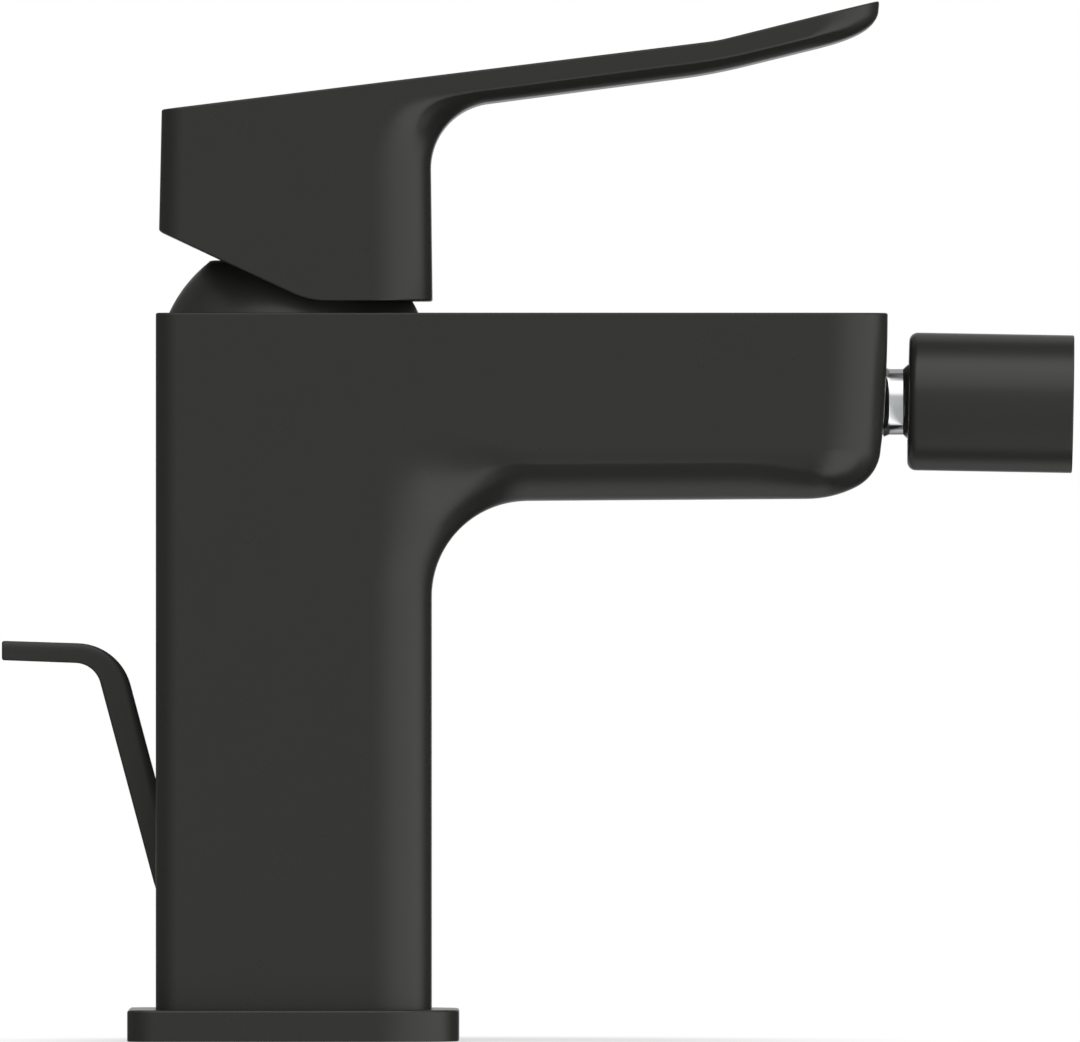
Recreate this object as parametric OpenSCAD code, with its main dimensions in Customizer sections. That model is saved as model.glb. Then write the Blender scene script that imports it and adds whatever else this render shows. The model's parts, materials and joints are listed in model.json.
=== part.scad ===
// Single-lever bidet mixer: a square column with a straight spout, a plate lever on a domed cap,
// a ceramic-disc cartridge, a ball-jointed aerator and an inclined pull rod for the waste.
// The origin is the middle of the base plate's underside, +X is the way of the spout and +Z is up.

/* [Base] */
// Width and depth of the base plate
plate_w = 50.2; // [48:0.2:56]
// Thickness of the base plate
plate_t = 4.8; // [4:0.1:8]
// Radius of the base plate's rear corners
plate_rear_r = 4; // [2:0.5:6]
// Radius of the base plate's front corners
plate_front_r = 12.5; // [9:0.5:14]
// Width of the sealing ring under the base plate
gasket_w = 2.3; // [1.5:0.1:2.6]
// Thickness of the sealing ring under the base plate
gasket_t = 1.5; // [1:0.1:2]

/* [Body] */
// Width and depth of the column, and width of the spout and the lever
body_w = 41.6; // [41:0.2:46]
// Height of the body's flat top above the deck
body_h = 110.3; // [108:0.1:130]
// Height of the spout from its underside to its top
spout_h = 28.5; // [27:0.1:32]
// Reach of the spout from the column's axis
spout_l = 90; // [80:1:120]
// Backward lean of the spout's front face, in degrees
spout_lean = 2.9; // [1:0.1:4]
// Radius of the column's rear edges
rear_edge_r = 3.3; // [2:0.1:5]
// Radius of the column's front edges and of the spout's long lower edges
front_edge_r = 9; // [6:0.5:10]
// Radius of the inside corner between the column and the spout
elbow_r = 14.5; // [12:0.5:18]
// Tight radius of the spout's lower front corner
nose_r = 7.3; // [5:0.1:9]
// Wide radius that ends the spout's lower front corner
chin_r = 16; // [12:0.5:18]
// Wall around the spout's water chamber
spout_wall = 4.2; // [3.5:0.1:5]
// Radius of the hollow that takes the hoses
hose_hollow_r = 17; // [16:0.1:17.5]
// Metal between the hollow that takes the hoses and the cartridge's seat
floor_t = 24; // [22:0.5:26]

/* [Threaded ports] */
// Core radius of the two hose threads
hose_port_r = 4.5; // [4:0.1:5]
// Depth of the hose threads
hose_port_depth = 10; // [8:0.5:11]
// Distance between the two hose threads
hose_port_pitch = 14.4; // [13:0.2:16]
// Distance of the hose threads in front of the axis
hose_port_x = 2.2; // [1:0.2:4]
// Core radius of the fixing stud's thread
stud_r = 3.4; // [2.5:0.1:4]
// Distance of the fixing stud behind the axis
stud_x = 7.5; // [7:0.5:10]

/* [Waterways] */
// Radius of the two inlet ways and of the outlet way
way_r = 2.5; // [2:0.1:2.7]
// Distance between the two inlet ways
way_pitch = 12; // [11:0.2:13]
// Thickness of the flat riser that leads to the spout
riser_t = 2.6; // [2:0.1:3]
// Width of the flat riser that leads to the spout
riser_w = 20; // [14:1:22]

/* [Cartridge] */
// Radius of the cartridge's lower barrel
cartridge_r = 14; // [13.5:0.1:14.2]
// Height of the lever's pivot above the cartridge's seat
pivot_rise = 31.7; // [31.7:0.1:34]
// Depth of the lever's pivot below the body's flat top
pivot_drop = 8.6; // [8:0.1:9.5]
// Radius of the fixed ceramic disc
disc_r = 12; // [11.5:0.1:12]
// Thickness of each ceramic disc
disc_t = 4; // [3:0.1:4]
// Radius of the turning sleeve
rotor_r = 10.4; // [10:0.1:10.6]
// Radius of the stem's pin
pin_r = 1.5; // [1.2:0.1:1.8]
// Lean of the stem each side of upright, in degrees
stem_lean = 12.5; // [10:0.5:13]
// Radius of the stem
stem_r = 3.9; // [3.5:0.1:4]
// Width of the square that carries the handle
stem_square = 7; // [6:0.1:7.2]
// Length from the stem's pivot down to the middle of its drive ball
stem_arm = 9; // [8.5:0.1:9.5]
// Radius of the drive ball
drive_ball_r = 2.6; // [2.4:0.1:2.8]

/* [Cap and nut] */
// Wall of the dome's skirt
cap_wall = 2.4; // [2:0.1:3]
// Height of the dome above the body's flat top
cap_h = 8; // [6:0.1:9]
// Radius of the hole that the stem comes through
cap_hole_r = 9; // [8.5:0.1:10]
// Radius of the retaining nut
nut_r = 17; // [16.5:0.1:17.2]
// Height of the retaining nut
nut_h = 9; // [7:0.1:9.2]

/* [Handle] */
// Gap between the body and the closed handle
handle_gap = 1.8; // [1.5:0.1:3]
// Height of the handle's rear face
handle_rear_h = 28.95; // [26:0.1:34]
// Backward lean of the handle's rear face, in degrees
handle_rear_lean = 1.2; // [0:0.1:2]
// Rise of the handle's top, in degrees
handle_slope = 7.05; // [5:0.1:9]
// Rise of the lever's last stretch, in degrees
tip_slope = 14; // [10:0.5:18]
// Distance from the axis to the bend in the lever
lever_kink_x = 64.2; // [58:0.5:70]
// Reach of the lever from the axis
lever_l = 88.7; // [84:0.5:100]
// Thickness of the lever
lever_t = 4.8; // [4:0.1:6]
// Radius below the lever's tip
tip_r = 4.5; // [3:0.1:4.6]
// Radius of the inside corner between the handle's front and the lever
lever_fillet_r = 9.5; // [7:0.5:11]
// Width of the rounding on the lever's lower edges
lever_edge_w = 5; // [3:0.5:7]
// Height of the rounding on the lever's lower edges
lever_edge_h = 2.6; // [2:0.1:3]
// Radius of the handle's inner hollow
handle_hollow_r = 16.3; // [15:0.1:16.5]
// Radius of the boss that takes the stem
handle_boss_r = 7.5; // [7:0.1:9]
// Radius of the fixing screw
screw_r = 2.5; // [2:0.1:2.8]
// Radius of the index plug
plug_r = 3.5; // [3:0.1:4.5]

/* [Aerator] */
// Height of the ball joint above the deck
ball_z = 96.85; // [96:0.05:98]
// Distance of the ball's middle in front of the spout's top edge
ball_rise = 7.85; // [7.6:0.05:9]
// Radius of the ball
ball_r = 7.4; // [7:0.1:7.6]
// Radius of the ball's neck and thread
neck_r = 5; // [4.5:0.1:5.2]
// Radius of the water way through the ball
ball_way_r = 2.6; // [2:0.1:3]
// Radius of the aerator's housing
housing_r = 10.45; // [10:0.05:12]
// Length of the aerator's housing
housing_l = 25; // [24:0.1:32]
// Distance from the ball's middle back to the housing's rear face
housing_back = 4.64; // [4.4:0.02:4.8]
// Downward tilt of the aerator as photographed, in degrees
housing_tilt = 1; // [0:0.1:3]
// Wall of the housing
housing_wall = 2.05; // [1.8:0.05:2.2]

/* [Pull rod] */
// Thickness of the rod's inclined leg
rod_t = 4.2; // [3.6:0.1:5]
// Width of the rod
rod_w = 7; // [5:0.2:9]
// Angle of the leg from upright, in degrees
rod_angle = 15; // [13:0.5:18]
// Height at which the leg's middle meets the column's rear face
rod_entry_z = 31; // [30:0.5:34]
// Height of the middle of the grip
rod_grip_z = 58.8; // [54:0.1:64]
// Distance from the axis back to the grip's tip
rod_tip_x = 44.3; // [40:0.1:50]
// Thickness of the grip
rod_grip_t = 3; // [2.6:0.1:3.6]
// Bend radius of the rod's middle line
rod_bend_r = 5; // [4:0.1:6]
// Wall of the rod's guide
guide_wall = 0.9; // [0.8:0.1:1.2]

/* [Fits] */
// Running clearance of turning parts
run_gap = 0.05; // [0.02:0.01:0.08]
// Clearance of parts that are screwed or dropped in
seat_gap = 0.1; // [0.05:0.01:0.15]
// Clearance between moving parts that don't bear on each other
free_gap = 0.3; // [0.2:0.05:0.4]

/* [Hidden] */
$fn = 64;

black = "#363634";
brass = "#b8a05a";
steel = "#b9bcc0";
plastic_grey = "#8e9296";
plastic_white = "#e6e6e2";
rubber_black = "#1c1c1c";
ceramic_white = "#f2efe8";

// Straight steps in a quarter turn of a rounded edge
arc_steps = 8;
// Overlap that lets a cut run clear of a face
over = 1;

half_w = body_w / 2;
spout_z = body_h - spout_h;
elbow_x = half_w + elbow_r;
elbow_z = spout_z - elbow_r;
pivot_z = body_h - pivot_drop;
seat_z = pivot_z - pivot_rise;
hose_hollow_h = seat_z - floor_t;
spigot_wall = 2;
spigot_r = hose_hollow_r + spigot_wall;
spigot_z = 1;
gasket_inset = 1;
gasket_r = spigot_r + gasket_inset;

// Small clearances: a pressed part, and the sides of a part in its slot
press_gap = 0.01;
side_gap = 0.2;

// Cartridge base with its water ways, seals and locating pegs
way_x = 1;
outlet_x = -5.5;
way_y = way_pitch / 2;
narrow_way_r = way_r - 0.2;
seal_t = 0.8;
seal_h = 1.5;
seal_stand = 0.3;
base_h = 4.6;
base_top = seat_z + base_h;
peg_r = 1.4;
peg_x = 9.2;
peg_turn = 42;
peg_l = 2.5;
peg_hole_l = 3;

// Ceramic discs and their carrier
disc_z = base_top + seal_stand;
moving_z = disc_z + disc_t;
moving_r = 10;
moving_t = 3.5;
cup_rim = 1.2;
cup_depth = 1.6;
cup_half_w = 7;
cup_front = 0.4;
carrier_z = moving_z + moving_t;
rotor_drop = 13;
rotor_z = pivot_z - rotor_drop;
carrier_h = rotor_z - free_gap - carrier_z;
carrier_neck_x = 5.5;
carrier_neck_drop = 6.4;
carrier_top = pivot_z - carrier_neck_drop;

// Cartridge barrel
shoulder_drop = 9.7;
shoulder_z = pivot_z - shoulder_drop;
housing_rise = 1.8;
housing_top = pivot_z + housing_rise;
shoulder_w = 1.6;
upper_r = cartridge_r - shoulder_w;

// Turning sleeve with its slot, stop lug and seal groove
rotor_rise = 4.3;
rotor_top = pivot_z + rotor_rise;
slot_y = stem_r + 0.5;
slot_x = 7.9;
lug_out = 1.4;
lug_w = 3.6;
rotor_seal_r = 0.7;
rotor_seal_z = pivot_z - 5.3;
rotor_groove_h = 1.8;
limiter_t = 2.2;
limiter_turn = 57;
pin_inset = 0.4;

// Stem
hub_r = 5;
drive_neck_r = 2;
socket_l = 34.5;
socket_floor = 0.5;

// Retaining nut and the dome's skirt
nut_z = shoulder_z;
nut_bore_r = upper_r + side_gap;
notch_w = 3;
notch_n = 6;
skirt_step = 1;
skirt_r = nut_r + skirt_step;
skirt_z = nut_z + nut_h + 0.6;
cap_lip = 2;
cone_drop = 1;

// Gallery under the cartridge, flat riser and spout chamber
gallery_z = seat_z - 7;
riser_wall = 1.5;
riser_turn = 80;
riser_x = cartridge_r + seat_gap + riser_wall;
riser_r = elbow_x - riser_x - riser_t;
chamber_wall = 3.4;
chamber_x = skirt_r + seat_gap + chamber_wall;
chamber_front_wall = 5.7;
chamber_end = spout_l - chamber_front_wall;
thread_wall = 3.5;
thread_boss_r = neck_r + thread_wall;
thread_l = 9;

// Pull rod
rod_lower_z = 0.5;
rod_taper = 0.2;
link_r = 1.25;
link_depth = 8;
rod_gap = 0.1;
guide_slot_t = rod_t + 2 * rod_gap;
guide_slot_w = rod_w + 2 * rod_gap;
guide_t = guide_slot_t + 2 * guide_wall;
guide_w = guide_slot_w + 2 * guide_wall;

// Place of the leg's middle line at a height
function leg_x(z) = -half_w - (z - rod_entry_z) * tan(rod_angle);

// Dome and handle
dome_r = half_w;
cavity_r = dome_r + free_gap;
handle_low = pivot_drop + handle_gap;
lift = 2 * stem_lean;
handle_front_x = half_w;
handle_inset = 0.5;
handle_rear_x = -half_w + handle_inset;
handle_roof = 3;
handle_hollow_z = body_h + handle_rear_h - handle_roof;
rear_low_z = pivot_z + (handle_low - sin(lift) * handle_rear_x) / cos(lift);
rear_top_z = body_h + handle_gap + handle_rear_h;
rear_top_x = handle_rear_x + (rear_top_z - rear_low_z) * tan(handle_rear_lean);
screw_rise = 25;
screw_l = 5.5;
hex_depth = 2;
plug_t = 1.5;

// Ball joint, from the ball's middle forward
ball_x = spout_l + ball_rise;
ball_cut = 6.2;
flare = 0.6;
flare_l = 0.8;
stem_seal_r = 0.7;
stem_seal_x = 3.8;
stem_groove_l = 1.6;
liner_gap = 0.1;
liner_t = 0.8;
liner_r = ball_r + liner_gap;
liner_back = 4;
liner_front = 1;
inner_r = housing_r - housing_wall;
seal_x = 2.8;
seal_l = 1.8;
ring_x = seal_x + seal_l;
ring_mouth_r = 4.2;
washer_x = liner_r + 1.1;
washer_t = 1.2;
washer_w = 3;

// Aerator insert and what stands in it
insert_x = washer_x + washer_t;
insert_wall = 1.2;
insert_lip = 1;
insert_recess = 0.6;
insert_front = housing_l - housing_back - insert_recess;
filter_r = inner_r - insert_wall - 2 * seat_gap;
flow_x = insert_x + insert_lip;
flow_t = 1.2;
flow_hole_r = 0.5;
flow_hole_n = 12;
flow_ring_r = 3.9;
screen_n = 3;
screen_t = 0.3;
grid_t = 2.2;
grid_x = insert_front - grid_t;
grid_pitch = 1.9;
grid_bar = 0.5;
screen_pitch = (grid_x - flow_x - flow_t) / (screen_n + 0.5);

function arc(cx, cy, r, a0, a1) = [
    for (i = [0 : arc_steps])
        let (a = a0 + (a1 - a0) * i / arc_steps)
            [cx + r * cos(a), cy + r * sin(a)]
];

// Outline of a block from x0 to x1, with its own radius at the rear and at the front
function plan(x0, x1, w, rear_r, front_r) = concat(
    arc(x1 - front_r, -w / 2 + front_r, front_r, -90, 0),
    arc(x1 - front_r, w / 2 - front_r, front_r, 0, 90),
    rear_r > 0 ? arc(x0 + rear_r, w / 2 - rear_r, rear_r, 90, 180) : [[x0, w / 2]],
    rear_r > 0 ? arc(x0 + rear_r, -w / 2 + rear_r, rear_r, 180, 270) : [[x0, -w / 2]]
);

// The same block's outline where its front end is square
function plan_square_front(x0, x1, w, rear_r) = concat(
    [[x1, -w / 2], [x1, w / 2]],
    arc(x0 + rear_r, w / 2 - rear_r, rear_r, 90, 180),
    arc(x0 + rear_r, -w / 2 + rear_r, rear_r, 180, 270)
);

// Draws an outline in the XZ plane and gives it a thickness along Y, even about the middle
module side_slab(thickness) {
    rotate([90, 0, 0])
        linear_extrude(thickness, center = true) children();
}

// Draws an outline in the YZ plane and runs it along X
module along_x(length) {
    rotate([90, 0, 90])
        linear_extrude(length) children();
}

// A quarter ring about a Y axis, whose inner face has rounded edges: it carries a block round a corner
module corner_ring(x, z, inner_r, outer_r, edge_r) {
    translate([x, 0, z])
        rotate([90, 0, 0])
            rotate([0, 0, 90])
                rotate_extrude(angle = 90)
                    polygon(concat(
                        arc(inner_r + edge_r, -half_w + edge_r, edge_r, 270, 180),
                        arc(inner_r + edge_r, half_w - edge_r, edge_r, 180, 90),
                        [[outer_r, half_w], [outer_r, -half_w]]
                    ));
}

// A ring of round section lying about the Z axis
module o_ring(ring_r, section_r) {
    rotate_extrude()
        translate([ring_r, 0])
            circle(section_r, $fn = 24);
}

// A plain ring about the Z axis, standing on the XY plane
module flat_ring(outer_r, bore_r, height) {
    difference() {
        cylinder(h = height, r = outer_r);
        translate([0, 0, -over])
            cylinder(h = height + 2 * over, r = bore_r);
    }
}

// A cylinder along X
module x_rod(x, r, length) {
    translate([x, 0, 0])
        rotate([0, 90, 0])
            cylinder(h = length, r = r);
}

module at_pivot() {
    translate([0, 0, pivot_z]) children();
}

// The closed stem leans forward
module at_stem() {
    at_pivot()
        rotate([0, stem_lean, 0]) children();
}

// Places children at the two inlets and the outlet
module at_ways() {
    for (side = [-1, 1])
        translate([way_x, side * way_y, 0]) children();
    translate([outlet_x, 0, 0]) children();
}

module at_pegs() {
    for (side = [-1, 1])
        rotate([0, 0, side * peg_turn])
            translate([peg_x, 0, 0]) children();
}

// The ball joint's middle, with the aerator's axis along X
module at_ball() {
    translate([ball_x, 0, ball_z])
        rotate([0, housing_tilt, 0]) children();
}

// Body

// Side outline of the spout, from the elbow to its leaning front face and two-radius lower corner
function spout_side() =
    let (
        blend = 60 + spout_lean,
        chin_z = spout_z + chin_r,
        step = chin_r - nose_r,
        nose_z = chin_z - step * sin(blend),
        face_z = nose_z - nose_r * sin(spout_lean),
        face_back = (body_h - face_z) * tan(spout_lean),
        chin_x = spout_l - face_back - nose_r * cos(spout_lean) - step * cos(blend),
        nose_x = chin_x + step * cos(blend)
    )
    concat(
        [[spout_l, body_h], [elbow_x, body_h], [elbow_x, spout_z]],
        arc(chin_x, chin_z, chin_r, -90, -blend),
        arc(nose_x, nose_z, nose_r, -blend, -spout_lean)
    );

module body_outside() {
    translate([0, 0, plate_t])
        linear_extrude(elbow_z - plate_t)
            polygon(plan(-half_w, half_w, body_w, rear_edge_r, front_edge_r));
    intersection() {
        corner_ring(elbow_x, elbow_z, elbow_r, body_h + body_w, front_edge_r);
        translate([0, 0, elbow_z])
            linear_extrude(body_h - elbow_z)
                polygon(plan_square_front(-half_w, elbow_x, body_w, rear_edge_r));
    }
    intersection() {
        side_slab(body_w) polygon(spout_side());
        translate([0, 0, spout_z])
            linear_extrude(spout_h)
                polygon(plan(elbow_x, spout_l, body_w, 0, front_edge_r));
        translate([elbow_x, 0, 0])
            along_x(spout_l)
                polygon(concat(
                    [[-half_w, body_h]],
                    arc(-half_w + front_edge_r, spout_z + front_edge_r, front_edge_r, 180, 270),
                    arc(half_w - front_edge_r, spout_z + front_edge_r, front_edge_r, 270, 360),
                    [[half_w, body_h]]
                ));
    }
}

module cartridge_bores() {
    translate([0, 0, seat_z])
        cylinder(h = body_h, r = cartridge_r + seat_gap);
    translate([0, 0, nut_z - side_gap])
        cylinder(h = body_h, r = nut_r + run_gap);
    translate([0, 0, nut_z + nut_h + side_gap])
        cylinder(h = body_h, r = skirt_r + seat_gap);
    translate([0, 0, seat_z - peg_hole_l])
        at_pegs()
            cylinder(h = peg_hole_l + over, r = peg_r + seat_gap);
}

module waterways() {
    for (side = [-1, 1]) {
        translate([way_x, side * way_y, hose_hollow_h])
            cylinder(h = seat_z - hose_hollow_h + over, r = way_r);
        translate([hose_port_x, side * hose_port_pitch / 2, hose_hollow_h - over])
            cylinder(h = hose_port_depth + over, r = hose_port_r);
    }
    translate([outlet_x, 0, gallery_z])
        cylinder(h = seat_z - gallery_z + over, r = way_r);
    translate([0, 0, gallery_z])
        x_rod(outlet_x, narrow_way_r, riser_x - outlet_x + riser_t / 2);
    translate([riser_x, -riser_w / 2, gallery_z - narrow_way_r])
        cube([riser_t, riser_w, elbow_z - gallery_z + narrow_way_r]);
    translate([elbow_x, 0, elbow_z])
        rotate([90, 0, 0])
            rotate([0, 0, 180 - riser_turn])
                rotate_extrude(angle = riser_turn)
                    translate([riser_r, -riser_w / 2])
                        square([riser_t, riser_w]);
}

module spout_chamber() {
    difference() {
        translate([chamber_x, -half_w + spout_wall, spout_z + spout_wall])
            cube([chamber_end - chamber_x, body_w - 2 * spout_wall, spout_h - 2 * spout_wall]);
        translate([0, 0, ball_z])
            x_rod(spout_l - thread_l, thread_boss_r, thread_l);
    }
}

module body() {
    color(black)
        difference() {
            union() {
                body_outside();
                translate([0, 0, spigot_z])
                    cylinder(h = plate_t - spigot_z + over, r = spigot_r);
            }
            translate([0, 0, -over])
                cylinder(h = hose_hollow_h + over, r = hose_hollow_r);
            translate([-stud_x, 0, hose_hollow_h - over])
                cylinder(h = hose_port_depth + over, r = stud_r);
            cartridge_bores();
            waterways();
            spout_chamber();
            translate([0, 0, ball_z])
                x_rod(spout_l - thread_l - over, neck_r + run_gap, thread_l + 2 * over);
            rod_slot(guide_t + 2 * press_gap, guide_w + 2 * press_gap);
        }
}

// Base

module base_plate() {
    color(black)
        difference() {
            linear_extrude(plate_t)
                polygon(plan(-plate_w / 2, plate_w / 2, plate_w, plate_rear_r, plate_front_r));
            translate([0, 0, -over])
                cylinder(h = plate_t + 2 * over, r = spigot_r + seat_gap);
            translate([0, 0, -over])
                flat_ring(gasket_r + gasket_w + 2 * seat_gap, gasket_r, gasket_t + over);
        }
}

module base_gasket() {
    color(rubber_black)
        flat_ring(gasket_r + gasket_w + seat_gap, gasket_r + seat_gap, gasket_t);
}

// Pull rod

// A bar along the rod's leg, thick in the leg's own plane and wide along Y
module rod_slot(thickness, width) {
    translate([-half_w, 0, rod_entry_z])
        rotate([0, -rod_angle, 0])
            translate([-thickness / 2, -width / 2, -plate_w / 2])
                cube([thickness, width, plate_w]);
}

module rod_guide() {
    color(plastic_grey)
        intersection() {
            difference() {
                rod_slot(guide_t, guide_w);
                rod_slot(guide_slot_t, guide_slot_w);
                translate([0, 0, -over])
                    cylinder(h = hose_hollow_h + over, r = hose_hollow_r);
            }
            translate([-half_w, -half_w, plate_t])
                cube([half_w, body_w, elbow_z]);
        }
}

// Side outline of the rod: a tapered grip, a bend and the inclined leg
function rod_side() =
    let (
        grip_top = rod_grip_z + rod_grip_t / 2,
        grip_low = rod_grip_z - rod_grip_t / 2,
        outer_r = rod_bend_r + rod_t / 2,
        inner_r = rod_bend_r - rod_t / 2,
        half_turn = (90 - rod_angle) / 2,
        leg_half = rod_t / 2 / cos(rod_angle),
        outer_x = leg_x(grip_top) + leg_half - outer_r * tan(half_turn),
        inner_x = leg_x(grip_low) - leg_half - inner_r * tan(half_turn)
    )
    concat(
        [[-rod_tip_x, grip_low + rod_taper / 2], [-rod_tip_x, grip_top - rod_taper / 2]],
        arc(outer_x, grip_top - outer_r, outer_r, 90, rod_angle),
        [[leg_x(rod_lower_z) + leg_half, rod_lower_z], [leg_x(rod_lower_z) - leg_half, rod_lower_z]],
        arc(inner_x, grip_low - inner_r, inner_r, rod_angle, 90)
    );

module pull_rod() {
    color(black)
        difference() {
            side_slab(rod_w) polygon(rod_side());
            translate([leg_x(rod_lower_z), 0, rod_lower_z])
                rotate([0, -rod_angle, 0])
                    translate([0, 0, -rod_t])
                        cylinder(h = link_depth + rod_t, r = link_r);
        }
}

// Cartridge

module cartridge_base() {
    color(plastic_white)
        difference() {
            union() {
                translate([0, 0, seat_z + seal_stand])
                    cylinder(h = base_top - seat_z - seal_stand, r = cartridge_r - seat_gap);
                translate([0, 0, seat_z - peg_l])
                    at_pegs()
                        cylinder(h = peg_l + over, r = peg_r);
            }
            translate([0, 0, seat_z - over])
                at_ways()
                    cylinder(h = base_top - seat_z + 2 * over, r = way_r);
            translate([0, 0, seat_z])
                at_ways()
                    cylinder(h = seal_h, r = way_r + seal_t + seat_gap);
            translate([0, 0, base_top + seal_stand - seal_h])
                at_ways()
                    cylinder(h = seal_h, r = way_r + seal_t + seat_gap);
        }
}

module port_seals() {
    color(rubber_black)
        translate([0, 0, seat_z])
            at_ways()
                flat_ring(way_r + seal_t, way_r, seal_h);
}

module disc_seals() {
    color(rubber_black)
        translate([0, 0, disc_z - seal_h])
            at_ways()
                flat_ring(way_r + seal_t, way_r, seal_h);
}

module fixed_disc() {
    color(ceramic_white)
        translate([0, 0, disc_z])
            difference() {
                cylinder(h = disc_t, r = disc_r);
                translate([0, 0, -over])
                    at_ways()
                        cylinder(h = disc_t + 2 * over, r = narrow_way_r);
            }
}

// How far the closed disc stands behind the axis
disc_back = stem_arm * sin(stem_lean);

module moving_disc() {
    color(ceramic_white)
        translate([-disc_back, 0, moving_z])
            difference() {
                cylinder(h = moving_t, r = moving_r);
                translate([0, 0, -over])
                    intersection() {
                        translate([-moving_r, -cup_half_w, 0])
                            cube([moving_r + cup_front, 2 * cup_half_w, cup_depth + over]);
                        cylinder(h = cup_depth + over, r = moving_r - cup_rim);
                    }
            }
}

module disc_carrier() {
    color(plastic_grey)
        translate([-disc_back, 0, 0])
            difference() {
                union() {
                    translate([0, 0, carrier_z])
                        cylinder(h = carrier_h, r = moving_r);
                    translate([-carrier_neck_x, -slot_y + run_gap, carrier_z])
                        cube([2 * carrier_neck_x, 2 * (slot_y - run_gap), carrier_top - carrier_z]);
                }
                translate([0, 0, pivot_z - stem_arm - drive_ball_r - free_gap])
                    cylinder(h = stem_arm, r = drive_ball_r + seat_gap);
            }
}

module cartridge_housing() {
    color(plastic_white)
        difference() {
            union() {
                translate([0, 0, base_top])
                    cylinder(h = shoulder_z - base_top, r = cartridge_r);
                translate([0, 0, base_top])
                    cylinder(h = housing_top - base_top, r = upper_r);
            }
            translate([0, 0, base_top - over])
                cylinder(h = rotor_z - base_top + over, r = disc_r + free_gap);
            translate([0, 0, base_top])
                cylinder(h = housing_top, r = rotor_r + run_gap);
        }
}

module rotor() {
    color(plastic_grey)
        difference() {
            union() {
                translate([0, 0, rotor_z])
                    cylinder(h = rotor_top - rotor_z, r = rotor_r);
                translate([-rotor_r - lug_out, -lug_w / 2, housing_top + side_gap])
                    cube([rotor_r, lug_w, limiter_t - 2 * side_gap]);
            }
            translate([-slot_x, -slot_y, rotor_z - over])
                cube([2 * slot_x, 2 * slot_y, rotor_top - rotor_z + 2 * over]);
            at_pivot()
                rotate([90, 0, 0])
                    cylinder(h = 3 * rotor_r, r = pin_r + press_gap, center = true);
            translate([0, 0, rotor_seal_z - rotor_groove_h / 2])
                difference() {
                    cylinder(h = rotor_groove_h, r = rotor_r + over);
                    cylinder(h = rotor_groove_h, r = rotor_r - 2 * rotor_seal_r);
                }
        }
}

module rotor_seal() {
    color(rubber_black)
        translate([0, 0, rotor_seal_z])
            o_ring(rotor_r - rotor_seal_r, rotor_seal_r);
}

module stem_pin() {
    color(steel)
        at_pivot()
            rotate([90, 0, 0])
                cylinder(h = 2 * (rotor_r - pin_inset), r = pin_r, center = true);
}

module lever_stem() {
    color(brass)
        at_stem()
            difference() {
                union() {
                    intersection() {
                        rotate([90, 0, 0])
                            cylinder(h = 2 * (slot_y - side_gap), r = hub_r, center = true);
                        cylinder(h = 4 * hub_r, r = hub_r + over, center = true);
                    }
                    cylinder(h = cavity_r - over, r = stem_r);
                    translate([-stem_square / 2, -stem_square / 2, cavity_r - 2 * over])
                        cube([stem_square, stem_square, socket_l - socket_floor - cavity_r + 2 * over]);
                    translate([0, 0, -stem_arm])
                        cylinder(h = stem_arm, r = drive_neck_r);
                    translate([0, 0, -stem_arm])
                        sphere(drive_ball_r);
                }
                rotate([90, 0, 0])
                    cylinder(h = 3 * rotor_r, r = pin_r + run_gap, center = true);
            }
}

// An open ring whose two ends stop the turning sleeve's lug
module limiter_ring() {
    color("#b03a2e")
        translate([0, 0, housing_top])
            difference() {
                flat_ring(upper_r - seat_gap, rotor_r + free_gap, limiter_t);
                translate([0, 0, -over])
                    linear_extrude(limiter_t + 2 * over)
                        polygon([
                            [0, 0],
                            [-2 * upper_r * cos(limiter_turn), 2 * upper_r * sin(limiter_turn)],
                            [-2 * upper_r, 2 * upper_r],
                            [-2 * upper_r, -2 * upper_r],
                            [-2 * upper_r * cos(limiter_turn), -2 * upper_r * sin(limiter_turn)]
                        ]);
            }
}

module cartridge_nut() {
    color(brass)
        translate([0, 0, nut_z])
            difference() {
                flat_ring(nut_r, nut_bore_r, nut_h);
                for (i = [1 : notch_n])
                    rotate([0, 0, 360 * i / notch_n])
                        translate([nut_bore_r - over, -notch_w / 2, nut_h - notch_w])
                            cube([notch_w + over, notch_w, notch_w + over]);
            }
}

module dome_cap() {
    color(black)
        difference() {
            union() {
                intersection() {
                    at_pivot()
                        sphere(dome_r, $fn = 96);
                    translate([0, 0, body_h])
                        cylinder(h = cap_h, r = dome_r);
                }
                translate([0, 0, skirt_z])
                    cylinder(h = body_h - skirt_z, r = skirt_r);
            }
            translate([0, 0, skirt_z - over])
                cylinder(h = body_h - cone_drop - skirt_z + over, r = skirt_r - cap_wall);
            translate([0, 0, body_h - cone_drop])
                cylinder(h = cap_h - cap_lip + cone_drop, r1 = skirt_r - cap_wall, r2 = cap_hole_r);
            translate([0, 0, body_h - over])
                cylinder(h = cap_h + 2 * over, r = cap_hole_r);
        }
}

// Handle

// Height of the handle's top at x
function handle_top(x) = rear_top_z
    + (min(x, lever_kink_x) - rear_top_x) * tan(handle_slope)
    + max(0, x - lever_kink_x) * tan(tip_slope);

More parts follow.
